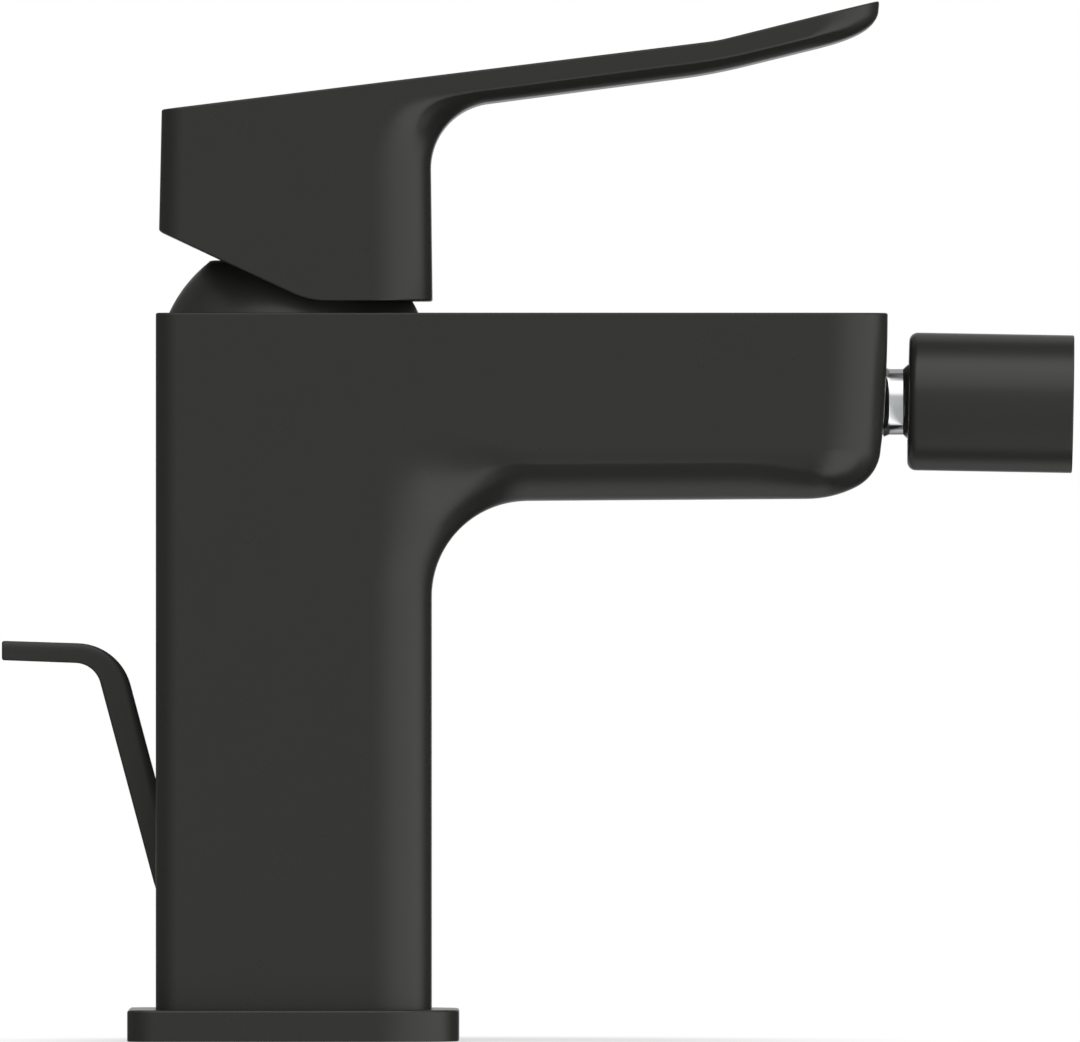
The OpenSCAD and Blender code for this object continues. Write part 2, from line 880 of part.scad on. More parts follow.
// The block below the lever, carried round the inside corner under the lever
module handle_block() {
    fillet_x = handle_front_x + lever_fillet_r;
    fillet_z = handle_top(fillet_x) - (lever_t + lever_fillet_r) / cos(handle_slope);
    low_z = pivot_z + handle_low;
    intersection() {
        side_slab(body_w)
            polygon([
                [handle_front_x, low_z],
                [handle_low * tan(lift / 2), low_z],
                [handle_rear_x, rear_low_z],
                [handle_rear_x, fillet_z],
                [handle_front_x, fillet_z]
            ]);
        translate([0, 0, body_h])
            linear_extrude(body_h)
                polygon(plan(handle_rear_x, handle_front_x, body_w, rear_edge_r, front_edge_r));
    }
    intersection() {
        corner_ring(fillet_x, fillet_z, lever_fillet_r, 4 * body_w, front_edge_r);
        side_slab(body_w)
            polygon([
                [fillet_x, fillet_z],
                [handle_rear_x, fillet_z],
                [handle_rear_x, fillet_z + body_w],
                [fillet_x - body_w * tan(handle_slope), fillet_z + body_w]
            ]);
        translate([0, 0, fillet_z])
            linear_extrude(body_w)
                polygon(plan_square_front(handle_rear_x, fillet_x, body_w, rear_edge_r));
    }
}

// One straight stretch of the lever with rounded lower edges: its top stands high and is cut later
module lever_stretch(x, z, slope, length) {
    edge_steps = 6;
    edge = [for (i = [0 : edge_steps])
        let (a = 90 * i / edge_steps)
            [lever_edge_w * (1 - cos(a)), lever_edge_h * (1 - sin(a)) - lever_t]];
    translate([x, 0, z])
        rotate([0, -slope, 0])
            along_x(length)
                polygon(concat(
                    [[half_w, lever_t], [-half_w, lever_t]],
                    [for (i = [0 : edge_steps]) [-half_w + edge[i].x, edge[i].y]],
                    [for (i = [edge_steps : -1 : 0]) [half_w - edge[i].x, edge[i].y]]
                ));
}

module lever_blade() {
    kink_z = handle_top(lever_kink_x);
    mitre = (handle_slope + tip_slope) / 2;
    mitre_x = 2 * lever_t * sin(mitre);
    mitre_z = 2 * lever_t * cos(mitre);
    tip_x = lever_l - tip_r;
    tip_low = handle_top(tip_x) - (lever_t - tip_r) / cos(tip_slope);
    intersection() {
        lever_stretch(0, handle_top(0), handle_slope, lever_l);
        side_slab(body_w)
            polygon([
                [0, body_h],
                [lever_kink_x + mitre_x, kink_z - mitre_z],
                [lever_kink_x - mitre_x, kink_z + mitre_z],
                [0, kink_z + mitre_z]
            ]);
    }
    intersection() {
        lever_stretch(lever_kink_x - lever_t, kink_z - lever_t * tan(tip_slope), tip_slope, lever_l);
        side_slab(body_w)
            polygon(concat(
                [[lever_kink_x - mitre_x, kink_z + mitre_z],
                    [lever_kink_x + mitre_x, kink_z - mitre_z]],
                arc(tip_x, tip_low, tip_r, -90 + tip_slope, 0),
                [[lever_l, 2 * body_h]]
            ));
        translate([0, 0, body_h])
            linear_extrude(body_h)
                polygon(plan(0, lever_l, body_w, 0, front_edge_r));
    }
}

// Everything under the handle's sloping top and in front of its leaning rear face
module below_top() {
    rear_foot_x = rear_top_x - (rear_top_z - body_h) * tan(handle_rear_lean);
    side_slab(2 * body_w)
        polygon([
            [rear_foot_x, body_h],
            [rear_top_x, rear_top_z],
            [lever_kink_x, handle_top(lever_kink_x)],
            [lever_l + over, handle_top(lever_l + over)],
            [lever_l + over, body_h]
        ]);
}

module handle() {
    color(black)
        difference() {
            intersection() {
                union() {
                    handle_block();
                    lever_blade();
                }
                below_top();
            }
            at_pivot()
                sphere(cavity_r, $fn = 96);
            difference() {
                translate([0, 0, body_h])
                    cylinder(h = handle_hollow_z - body_h, r = handle_hollow_r);
                at_stem()
                    cylinder(h = 2 * body_w, r = handle_boss_r);
            }
            at_stem()
                translate([-stem_square / 2 - run_gap, -stem_square / 2 - run_gap, 0])
                    cube([stem_square + 2 * run_gap, stem_square + 2 * run_gap, socket_l]);
            at_screw()
                translate([0, 0, -stem_square / 2])
                    cylinder(h = body_w, r = screw_r + run_gap);
            at_plug()
                cylinder(h = plug_t + over, r = plug_r + run_gap);
        }
}

// The fixing screw runs forward along X and bears on the stem's leaning flat with its upper edge
module at_screw() {
    bearing_x = (screw_rise + screw_r) * tan(stem_lean) + stem_square / 2 / cos(stem_lean);
    translate([bearing_x + run_gap, 0, pivot_z + screw_rise])
        rotate([0, 90, 0]) children();
}

module at_plug() {
    translate([handle_front_x - plug_t, 0, pivot_z + screw_rise])
        rotate([0, 90, 0]) children();
}

module handle_screw() {
    color(steel)
        at_screw()
            difference() {
                cylinder(h = screw_l, r = screw_r);
                translate([0, 0, screw_l - hex_depth])
                    cylinder(h = hex_depth + over, r = screw_r / 2, $fn = 6);
            }
}

module index_plug() {
    color("#5f8fb0")
        at_plug() {
            cylinder(h = plug_t, r = plug_r);
            translate([0, 0, -plug_t])
                cylinder(h = plug_t + over, r = screw_r);
        }
}

// Ball joint and aerator

module ball_stem() {
    face_x = spout_l - (body_h - ball_z) * tan(spout_lean) - ball_x;
    shank_x = spout_l - thread_l - ball_x;
    color("#d6d8da")
        translate([ball_x, 0, ball_z])
            difference() {
                union() {
                    x_rod(shank_x, neck_r, -shank_x);
                    translate([face_x + free_gap + run_gap, 0, 0])
                        rotate([0, 90, 0])
                            cylinder(h = flare_l, r1 = neck_r + flare, r2 = neck_r);
                    intersection() {
                        sphere(ball_r, $fn = 96);
                        x_rod(-ball_r, ball_r + over, ball_r + ball_cut);
                    }
                }
                x_rod(shank_x - over, ball_way_r, 4 * ball_r);
                translate([shank_x + stem_seal_x - stem_groove_l / 2, 0, 0])
                    rotate([0, 90, 0])
                        difference() {
                            cylinder(h = stem_groove_l, r = neck_r + over);
                            cylinder(h = stem_groove_l, r = neck_r - 2 * stem_seal_r);
                        }
            }
}

module stem_seal() {
    color(rubber_black)
        translate([spout_l - thread_l + stem_seal_x, 0, ball_z])
            rotate([0, 90, 0])
                o_ring(neck_r - stem_seal_r, stem_seal_r);
}

module ball_liner() {
    color(plastic_white)
        at_ball()
            difference() {
                intersection() {
                    sphere(liner_r + liner_t, $fn = 96);
                    x_rod(-liner_back, housing_r, liner_back + liner_front);
                }
                sphere(liner_r, $fn = 96);
            }
}

module aerator_housing() {
    color(black)
        at_ball()
            difference() {
                x_rod(-housing_back, housing_r, housing_l);
                sphere(inner_r, $fn = 96);
                x_rod(0, inner_r, housing_l);
            }
}

module ball_seal() {
    color(rubber_black)
        at_ball()
            difference() {
                x_rod(seal_x, inner_r - run_gap, seal_l);
                sphere(liner_r, $fn = 96);
            }
}

module socket_ring() {
    color(brass)
        at_ball()
            difference() {
                x_rod(ring_x, inner_r - run_gap, washer_x - ring_x);
                sphere(liner_r, $fn = 96);
                x_rod(ring_x, ring_mouth_r, washer_x);
            }
}

module aerator_washer() {
    color(rubber_black)
        at_ball()
            translate([washer_x, 0, 0])
                rotate([0, 90, 0])
                    flat_ring(inner_r - seat_gap, inner_r - washer_w, washer_t);
}

module aerator_insert() {
    outer = inner_r - seat_gap;
    color(plastic_grey)
        at_ball()
            difference() {
                x_rod(insert_x, outer, insert_front - insert_x);
                x_rod(insert_x - over, outer - insert_wall - insert_lip, insert_front);
                x_rod(flow_x, outer - insert_wall, insert_front);
            }
}

module flow_plate() {
    color(plastic_white)
        at_ball()
            translate([flow_x, 0, 0])
                rotate([0, 90, 0])
                    difference() {
                        cylinder(h = flow_t, r = filter_r);
                        for (i = [1 : flow_hole_n])
                            rotate([0, 0, 360 * i / flow_hole_n])
                                translate([flow_ring_r, 0, -over])
                                    cylinder(h = flow_t + 2 * over, r = flow_hole_r);
                    }
}

module mesh_screens() {
    color(steel)
        at_ball()
            for (layer = [0 : screen_n - 1])
                x_rod(flow_x + flow_t + layer * screen_pitch, filter_r, screen_t);
}

module outlet_grid() {
    hole = grid_pitch - grid_bar;
    color(plastic_grey)
        at_ball()
            translate([grid_x, 0, 0])
                rotate([0, 90, 0])
                    difference() {
                        cylinder(h = grid_t, r = filter_r);
                        for (i = [-3 : 3])
                            for (j = [-3 : 3])
                                if (norm([i, j]) * grid_pitch + grid_pitch / 2 < filter_r)
                                    translate([i * grid_pitch - hole / 2, j * grid_pitch - hole / 2, -over])
                                        cube([hole, hole, grid_t + 2 * over]);
                    }
}

body();
base_plate();
base_gasket();
rod_guide();
pull_rod();
cartridge_base();
port_seals();
disc_seals();
fixed_disc();
moving_disc();
disc_carrier();
cartridge_housing();
rotor();
rotor_seal();
stem_pin();
lever_stem();
limiter_ring();
cartridge_nut();
dome_cap();
handle();
handle_screw();
index_plug();
ball_stem();
stem_seal();
ball_liner();
ball_seal();
socket_ring();
aerator_housing();
aerator_washer();
aerator_insert();
flow_plate();
mesh_screens();
outlet_grid();
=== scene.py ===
# %% [markdown]
# # A matt black bidet mixer
# The mixer stands on a square base plate: a column with a straight spout, a plate lever over a domed cap,
# a ball-jointed aerator with a chrome neck, and a flat pull rod behind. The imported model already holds
# every part in its place and its joints. Here the outer parts get their soft edges and their finish.

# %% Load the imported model
import bpy
import bmesh
import json
from math import atan2, cos, degrees, pi, radians, sin, sqrt, tan
from mathutils import Matrix, Vector


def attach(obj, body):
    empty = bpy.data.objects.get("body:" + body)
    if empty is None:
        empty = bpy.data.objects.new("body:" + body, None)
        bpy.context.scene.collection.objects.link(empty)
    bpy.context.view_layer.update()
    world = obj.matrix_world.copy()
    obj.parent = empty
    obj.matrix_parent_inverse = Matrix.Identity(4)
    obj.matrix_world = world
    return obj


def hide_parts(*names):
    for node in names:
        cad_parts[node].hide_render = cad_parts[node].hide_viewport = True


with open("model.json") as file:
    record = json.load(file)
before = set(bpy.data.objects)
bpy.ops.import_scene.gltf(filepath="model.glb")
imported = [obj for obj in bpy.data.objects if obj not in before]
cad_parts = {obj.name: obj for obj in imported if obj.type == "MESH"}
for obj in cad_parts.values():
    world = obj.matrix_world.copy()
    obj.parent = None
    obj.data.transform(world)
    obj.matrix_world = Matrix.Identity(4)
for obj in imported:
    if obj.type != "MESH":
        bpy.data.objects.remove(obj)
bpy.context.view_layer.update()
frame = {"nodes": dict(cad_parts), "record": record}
nodes = frame["nodes"]
MM = 0.001

# %% [markdown]
# The photograph is taken square from the side and from far away, so nothing gets smaller with depth. A
# real camera does that with a long lens and distance, and so does this one, which keeps it usable for
# the other views. The frame is 163.6 mm wide where it cuts the mixer 9 mm on the near side of its middle
# plane, and its middle is 37.3 mm in front of the column's axis.

# %% Camera
FRAME_W, FRAME_X, FRAME_Z = 163.62, 37.35, 78.78
FRAME_NEAR = 9
LENS, SENSOR = 1650, 36
camera = bpy.data.objects.new("photo_camera", bpy.data.cameras.new("photo_camera"))
bpy.context.scene.collection.objects.link(camera)
distance = LENS * FRAME_W / SENSOR
camera.data.sensor_width = SENSOR
camera.data.lens = LENS
camera.data.clip_start, camera.data.clip_end = 0.1, 50
camera.location = (FRAME_X * MM, -(distance + FRAME_NEAR) * MM, FRAME_Z * MM)
camera.rotation_euler = (pi / 2, 0, 0)
bpy.context.scene.camera = camera
print("lens", round(camera.data.lens), "mm")

# %% [markdown]
# All shapes are worked out in millimetres and turned into metres when a piece is finished. A piece's
# faces must point outwards, its wide curves must look smooth and its narrow edges crisp. Marking edges
# sharp by their angle and weighting the normals by face area does that: large flat faces stay flat.

# %% Finishing a mesh
def linked(name, data):
    """A new object in the scene that shows this data."""
    thing = bpy.data.objects.new(name, data)
    bpy.context.scene.collection.objects.link(thing)
    return thing


def solid(name, mesh):
    """A Blender object from a closed bmesh in millimetres."""
    bmesh.ops.remove_doubles(mesh, verts=mesh.verts, dist=1e-5)
    bmesh.ops.recalc_face_normals(mesh, faces=mesh.faces)
    mesh.transform(Matrix.Scale(MM, 4))
    data = bpy.data.meshes.new(name)
    mesh.to_mesh(data)
    mesh.free()
    return linked(name, data)


def applied(thing):
    """Turns an object's modifiers into plain mesh."""
    bpy.context.view_layer.update()
    shape = thing.evaluated_get(bpy.context.evaluated_depsgraph_get())
    old = thing.data
    fresh = bpy.data.meshes.new_from_object(shape)
    thing.modifiers.clear()
    thing.data = fresh
    fresh.name = thing.name
    bpy.data.meshes.remove(old)
    return thing


def cut(thing, *tools, operation="DIFFERENCE"):
    """Cuts closed tools out of a piece, one after the other, and removes the tools."""
    for tool in tools:
        boolean = thing.modifiers.new("cut", "BOOLEAN")
        boolean.operation, boolean.solver, boolean.object = operation, "EXACT", tool
        applied(thing)
        bpy.data.objects.remove(tool)
    return thing


def smoothed(thing, sharp=32):
    """Welds the seams of the cuts and shades smoothly, with crisp edges over sharp degrees."""
    seams = bmesh.new()
    seams.from_mesh(thing.data)
    bmesh.ops.remove_doubles(seams, verts=seams.verts, dist=0.002 * MM)
    seams.to_mesh(thing.data)
    seams.free()
    thing.data.shade_smooth()
    thing.data.set_sharp_from_angle(angle=radians(sharp))
    weighted = thing.modifiers.new("weighted", "WEIGHTED_NORMAL")
    weighted.keep_sharp, weighted.weight = True, 50
    applied(thing)
    mesh = thing.data
    low = [round(min(v.co[i] for v in mesh.vertices) / MM, 2) for i in range(3)]
    high = [round(max(v.co[i] for v in mesh.vertices) / MM, 2) for i in range(3)]
    print(thing.name, len(mesh.polygons), "faces,", low, "to", high, "mm")
    return thing

# %% [markdown]
# Round parts are turned on a lathe, so they are made the same way here: an outline of distance from the
# axis and height, with a radius at each corner that a tool or the finish would leave, swept round.

# %% Outlines and turned shapes
def arc(x, z, r, start, end, steps):
    """Points of an arc about (x, z), angles in degrees."""
    return [(x + r * cos(radians(start + (end - start) * i / steps)),
             z + r * sin(radians(start + (end - start) * i / steps))) for i in range(steps + 1)]


def eased(corners, steps=5):
    """A closed outline whose corners (a, b, radius) are rounded."""
    outline = []
    for i, (a, b, r) in enumerate(corners):
        here = Vector((a, b))
        if r <= 0:
            outline.append((a, b))
            continue
        back = (Vector(corners[i - 1][:2]) - here).normalized()
        ahead = (Vector(corners[(i + 1) % len(corners)][:2]) - here).normalized()
        half = back.angle(ahead) / 2
        reach = r / tan(half)
        middle = here + (back + ahead).normalized() * (r / sin(half))
        first, last = here + back * reach - middle, here + ahead * reach - middle
        for k in range(steps + 1):
            way = first.normalized().slerp(last.normalized(), k / steps)
            outline.append(tuple(middle + way * r))
    return outline


def turned(outline, steps=96):
    """A bmesh in millimetres: the closed outline [(r, z), …] swept round the Z axis."""
    mesh = bmesh.new()
    rings = []
    for r, z in outline:
        if r < 1e-6:
            rings.append([mesh.verts.new((0, 0, z))] * steps)
        else:
            rings.append([mesh.verts.new((r * cos(2 * pi * k / steps), r * sin(2 * pi * k / steps), z))
                          for k in range(steps)])
    for one, two in zip(rings, rings[1:] + rings[:1]):
        for k in range(steps):
            n = (k + 1) % steps
            face = list(dict.fromkeys((one[k], one[n], two[n], two[k])))
            if len(face) > 2:
                mesh.faces.new(face)
    return mesh


def rod(name, r, low, high, place=Matrix(), steps=96):
    """A plain cylinder along Z from low to high, used as a cutting tool."""
    mesh = turned([(0, low), (r, low), (r, high), (0, high)], steps)
    mesh.transform(place)
    return solid(name, mesh)


def block(name, low, high, place=Matrix()):
    """A plain box between two corners, used as a cutting tool."""
    mesh = bmesh.new()
    size = Vector(high) - Vector(low)
    middle = (Vector(high) + Vector(low)) / 2
    bmesh.ops.create_cube(mesh, size=1, matrix=Matrix.Translation(middle) @ Matrix.Diagonal((*size, 1)))
    mesh.transform(place)
    return solid(name, mesh)


ALONG_X = Matrix.Rotation(pi / 2, 4, "Y")
print("an eased square has", len(eased([(0, 0, 1), (9, 0, 1), (9, 9, 1), (0, 9, 1)])), "points")

# %% [markdown]
# The castings are the same on both sides of their middle plane. So one side is given point by point and
# the skin writes each face twice, once for each side, and joins the two sides across the middle. The
# long edges carry the look of this mixer: where they are round they shine, where they turn fast they
# draw a dark line. A rim is a row of points from the flat side to the middle strip. Its profile blends
# between a quarter circle and a tight turn that runs on into a wide one.

# %% A skin that is even on both sides
class EvenSkin:
    """A closed skin, mirrored about y = 0, in millimetres."""

    def __init__(self):
        self.mesh = bmesh.new()

    def point(self, x, y, z):
        return self.mesh.verts.new((x, y, z)), self.mesh.verts.new((x, -y, z))

    def side(self, *pairs):
        """One face and its mirror image."""
        self.mesh.faces.new([pair[0] for pair in pairs])
        self.mesh.faces.new([pair[1] for pair in reversed(pairs)])

    def across(self, pairs):
        """A strip between a chain of points and its mirror image."""
        for a, b in zip(pairs, pairs[1:]):
            self.mesh.faces.new((a[0], b[0], b[1], a[1]))

    def sheet(self, rows):
        """Faces between rows of points."""
        for one, two in zip(rows, rows[1:]):
            for i in range(len(one) - 1):
                self.side(one[i], one[i + 1], two[i + 1], two[i])

    def lid(self, loop, height, ease, up, steps=3):
        """Closes the skin over a loop, with a small rounded edge. height(x) is the surface, up is 1 or -1."""
        plan = [Vector(pair[0].co[:2]) for pair in loop]
        ends = [Vector((plan[0].x, -plan[0].y))] + plan + [Vector((plan[-1].x, -plan[-1].y))]
        ways = []
        for before, here, after in zip(ends, ends[1:], ends[2:]):
            one, two = (here - before).normalized(), (after - here).normalized()
            normal = Vector((one.y + two.y, -one.x - two.x)).normalized()
            ways.append(normal / max(0.3, sqrt((1 + one.dot(two)) / 2)))
        rows = [loop]
        for k in range(1, steps + 1):
            angle = pi / 2 * k / steps
            row = []
            for spot, way in zip(plan, ways):
                q = spot + way * ease * (1 - cos(angle))
                row.append(self.point(q.x, q.y, height(q.x) - up * ease * (1 - sin(angle))))
            rows.append(row)
        self.sheet(rows)
        self.across([row[0] for row in rows])
        self.across([row[-1] for row in rows])
        self.across(rows[-1])


EDGE_STEPS = 18


def smooth(part):
    """Goes from 0 to 1 without a kink at either end."""
    return part * part * (3 - 2 * part)


def two_radii(tight, turn, wide):
    """A rim profile that turns tightly first and widely after: fractions of its width and height."""
    t = radians(turn)
    width = tight * (1 - cos(t)) + wide * cos(t)
    height = tight * sin(t) + wide * (1 - sin(t))
    table = []
    for i in range(EDGE_STEPS + 1):
        a = pi / 2 * i / EDGE_STEPS
        if a <= t:
            table.append((tight * (1 - cos(a)) / width, tight * sin(a) / height))
        else:
            table.append(((tight * (1 - cos(t)) + wide * (cos(t) - cos(a))) / width,
                          (tight * sin(t) + wide * (sin(a) - sin(t))) / height))
    return table


def rim(skin, outer, inner, width, half_w, profile=None, blend=0.0):
    """A row of points from the flat side at inner(x, z) to the middle strip at outer(x, z)."""
    row = []
    for i in range(EDGE_STEPS + 1):
        a = pi / 2 * i / EDGE_STEPS
        u, v = 1 - cos(a), sin(a)
        if profile:
            u += (profile[i][0] - u) * blend
            v += (profile[i][1] - v) * blend
        row.append(skin.point(inner[0] + (outer[0] - inner[0]) * v, half_w - width * u,
                              inner[1] + (outer[1] - inner[1]) * v))
    return row


def between(table, at):
    """A smooth curve through a table of (position, value)."""
    spots = [row[0] for row in table]
    values = [row[1] for row in table]
    if at <= spots[0]:
        return values[0]
    if at >= spots[-1]:
        return values[-1]
    i = max(k for k, spot in enumerate(spots[:-1]) if spot <= at)
    slope = []
    for k in (i, i + 1):
        lo, hi = max(k - 1, 0), min(k + 1, len(spots) - 1)
        slope.append((values[hi] - values[lo]) / (spots[hi] - spots[lo]))
    w = spots[i + 1] - spots[i]
    t = (at - spots[i]) / w
    return ((1 + 2 * t) * (1 - t) ** 2 * values[i] + t * (1 - t) ** 2 * w * slope[0]
            + t * t * (3 - 2 * t) * values[i + 1] + t * t * (t - 1) * w * slope[1])


SPOUT_EDGE = two_radii(3.3, 45, 18.4)
LEVER_EDGE = two_radii(1.0, 50, 8.5)
print("spout edge turns", EDGE_STEPS, "times")

# %% [markdown]
# The body is one casting, ground and coated. Column and spout are as deep as the column is wide. The
# column's rear edges are nearly square, its front edges are round, and under the spout the edge has two
# radii. Where the spout grows out of the column the round edge swells into a soft shoulder, which shows
# as a bright patch in the photograph, and the spout's nose is the same thing turned about. Bevelling a
# box can't make these, so the rim is laid along the side outline with its own width and height.

# %% Body: the outside
HALF = 20.8
FRONT = 20.93
PLATE_T = 4.8
BODY_TOP = 110.3
SPOUT_LOW = 81.8
EASE = 0.3
REAR_R, EDGE_R = 3.3, 9
EDGE_SWELL = 4.9
SPOUT_INSET = 7.77
ELBOW = (35.43, 67.3, 14.5)
body = EvenSkin()


def elbow_row(angle):
    """The rim at one angle of the elbow, 90 at the spout and 180 at the column."""
    x, z, r = ELBOW
    inset = between([(90, SPOUT_INSET), (98, 8.5), (106, 10.1), (114, 12.2), (122, 14.3), (130, 15.4),
                     (138, 14.6), (147, 12.2), (156, 10.1), (166, 9.2), (180, EDGE_R)], angle)
    width = between([(90, 13.9), (110, 12.2), (135, 10.2), (160, 9.1), (180, EDGE_R)], angle)
    blend = between([(90, 1), (97, 0.85), (104, 0.5), (111, 0.18), (118, 0.03), (125, 0)], angle)
    way = (cos(radians(angle)), sin(radians(angle)))
    rise = 0.0 if angle > 90 else 0.02
    return rim(body, (x + r * way[0], z + r * way[1] + rise),
               (x + (r + inset) * way[0], z + (r + inset) * way[1] + rise), width, HALF, SPOUT_EDGE, blend)


def chin(past):
    """How far the round nose edge has become the spout's lower edge, past mm after the chin begins."""
    return smooth(min(1.0, past / 19.3))


front = []
for z in (BODY_TOP - EASE, 107, 104, 101, 98, 95, 92.5, 91, 89.69):
    x = between([(89.69, 88.96), (92, 89.24), (95, 89.5), (99, 89.72), (102.6, 89.86), (106, 89.97),
                 (111, 90.03)], z)
    front.append(rim(body, (x, z), (x - EDGE_R, z), EDGE_R, HALF))
nose = arc(81.665, 90.055, 7.3, -2.9, -62.9, 16)[1:] + arc(77.70, 97.8, 16, -62.9, -90, 8)[1:]
for k, (x, z) in enumerate(nose, 1):
    part = k / len(nose)
    inner = (79.95 - 2.25 * part, 89.69 - 0.35 * sin(pi * part) + 0.2 * part)
    late = chin(max(0.0, (part - 0.667) / 0.333) * 7.6)
    front.append(rim(body, (x, z + 0.32 * smooth(part)), inner, EDGE_R + EDGE_SWELL * late, HALF,
                     SPOUT_EDGE, late))
for x in (76.7, 75.7, 74.6, 73.5, 72.3, 71.0, 69.7, 68.2, 66, 50, 38):
    rise = 0.02 + 0.30 * (x - 35.3) / 42.4
    late = chin(7.6 + 77.7 - x)
    front.append(rim(body, (x, SPOUT_LOW + rise), (x, SPOUT_LOW + rise + SPOUT_INSET),
                     EDGE_R + EDGE_SWELL * late, HALF, SPOUT_EDGE, late))
for k in range(37):
    front.append(elbow_row(90 + 2.5 * k))
for z in (45, PLATE_T + 0.02):
    front.append(rim(body, (FRONT, z), (FRONT - EDGE_R, z), EDGE_R, HALF))

rear = [rim(body, (-HALF, z), (-HALF + REAR_R, z), REAR_R, HALF)
        for z in (PLATE_T + 0.02, 50, BODY_TOP - EASE)]
for rows in (front, rear):
    body.sheet(rows)
    body.across([row[-1] for row in rows])
body.side(*[row[0] for row in rear], *[row[0] for row in front])
body.lid(rear[-1][::-1] + front[0], lambda x: BODY_TOP, EASE, 1)
body.across(rear[0][::-1] + front[-1])
body = solid("body_casting", body.mesh)
print(len(front), "rims along the front,", len(body.data.polygons), "faces")

# %% [markdown]
# Inside, the casting is bored for the cartridge, its nut and the cap's skirt, hollow below for the two
# hoses and the stud, and cored through the spout. Boolean cutters do what the drills and cores do. They
# are one after the other and a little longer than the metal, so no cutter ends flush with a face.

# %% Body: bores and hollows
BALL_Z = 96.85
cut(body, rod("spigot", 19, 1, PLATE_T + 1), operation="UNION")
cut(body,
    rod("hose_hollow", 17, -1, 46),
    rod("stud_bore", 3.4, 45, 56, Matrix.Translation((-7.5, 0, 0)), 32),
    *[rod("hose_bore", 4.5, 45, 56, Matrix.Translation((2.2, y, 0)), 40) for y in (7.2, -7.2)],
    *[rod("inlet", 2.5, 54, 71, Matrix.Translation((1, y, 0)), 32) for y in (6, -6)],
    solid("cartridge_bore", turned([(0, 70), (14.1, 70), (14.1, 91.8), (17.05, 91.8), (17.05, 101.2),
                                    (18.1, 101.2), (18.1, 111.3), (0, 111.3)])),
    block("spout_chamber", (21.5, -16.6, 86), (80.9, 16.6, 106.1)),
    rod("neck_thread", 5.05, 80, 92, Matrix.Translation((0, 0, BALL_Z)) @ ALONG_X, 64),
    block("rod_slot", (-3.01, -4.41, -25.1), (3.01, 4.41, 25.1),
          Matrix.Translation((-20.8, 0, 31)) @ Matrix.Rotation(radians(-15), 4, "Y")))
smoothed(body)

# %% [markdown]
# The base plate hides the hole in the ceramic. It has small corners behind and wide ones in front, a fine
# rounded top edge that catches a line of light, a hole for the body's spigot and a groove for the seal.

# %% Base plate
PLATE_HALF, PLATE_REAR_R, PLATE_FRONT_R = 25.1, 4, 12.5
plate = EvenSkin()
behind, ahead = PLATE_HALF - PLATE_REAR_R, PLATE_HALF - PLATE_FRONT_R
corners = [(-PLATE_HALF, behind)] + arc(-behind, behind, PLATE_REAR_R, 180, 90, 10)[1:] \
    + arc(ahead, ahead, PLATE_FRONT_R, 90, 0, 20)
walls = [[plate.point(x, y, z) for x, y in corners] for z in (0.2, PLATE_T - 0.4)]
plate.sheet(walls)
plate.across([wall[0] for wall in walls])
plate.across([wall[-1] for wall in walls])
plate.lid(walls[1], lambda x: PLATE_T, 0.4, 1, 4)
plate.lid(walls[0], lambda x: 0.0, 0.2, -1, 2)
plate = solid("base_plate_coated", plate.mesh)
cut(plate, rod("spigot_hole", 19.1, -1, 6),
    solid("seal_groove", turned([(20, -1), (22.5, -1), (22.5, 1.5), (20, 1.5)])))
smoothed(plate)

# %% [markdown]
# The domed cap is turned and screws into the body. Only a slice of it shows under the handle, but the
# whole dome comes into view when the lever is lifted. Its curve is one arc about the lever's pivot.

# %% Dome cap
PIVOT_Z = 101.7
dome_edge = degrees(atan2(16.6, sqrt(HALF ** 2 - 16.6 ** 2)))
dome_foot = degrees(atan2(8.6, sqrt(HALF ** 2 - 8.6 ** 2)))
dome_arc = arc(0, PIVOT_Z, HALF, dome_foot, dome_edge - 1.2, 26)
dome_top = [(12.9, 118.13), (12.6, 118.24), (12.2, 118.3)]
outline = [(18, 101.6), (18, 110.3)] + dome_arc + dome_top \
    + [(9.3, 118.3), (9.08, 118.2), (9, 118), (9, 116.3), (15.6, 109.3), (15.6, 101.6)]
cap = smoothed(solid("dome_cap_turned", turned(outline, 128)))

# %% [markdown]
# Handle and lever are one casting. The top is one long plane that kinks up towards the tip, and all other
# faces hang from it. The rims run from the tip along the lever's underside, where the edge is only 2 to
# 2.4 mm high, round the inside corner and down the block's front, where it grows to a 9 mm radius.

# %% Handle: the outside
handle = EvenSkin()
REAR_TOP = (-19.914, 141.05)
KINK = 64.2
TIP = 88.7
TOP_SLOPE, TIP_SLOPE = tan(radians(7.05)), tan(radians(14))
LEVER_W, LEVER_H = 4.96, 2.42


def lever_top(x):
    """Height of the lever's top, with the kink rounded over 3 mm."""
    past = x - KINK
    bend = 0.0 if past < -1.5 else past if past > 1.5 else (past + 1.5) ** 2 / 6
    return REAR_TOP[1] + (x - REAR_TOP[0]) * TOP_SLOPE + bend * (TIP_SLOPE - TOP_SLOPE)


def lever_under(x):
    """Height of the lever's underside, with a softer kink."""
    past = x - 63.6
    bend = 0.0 if past < -5 else past if past > 5 else (past + 5) ** 2 / 20
    return 138.26 + 0.1312 * x + bend * 0.1155


def under_way(x):
    """The way into the metal from the lever's underside."""
    slope = (lever_under(x + 0.01) - lever_under(x - 0.01)) / 0.02
    return Vector((-slope, 1)).normalized()


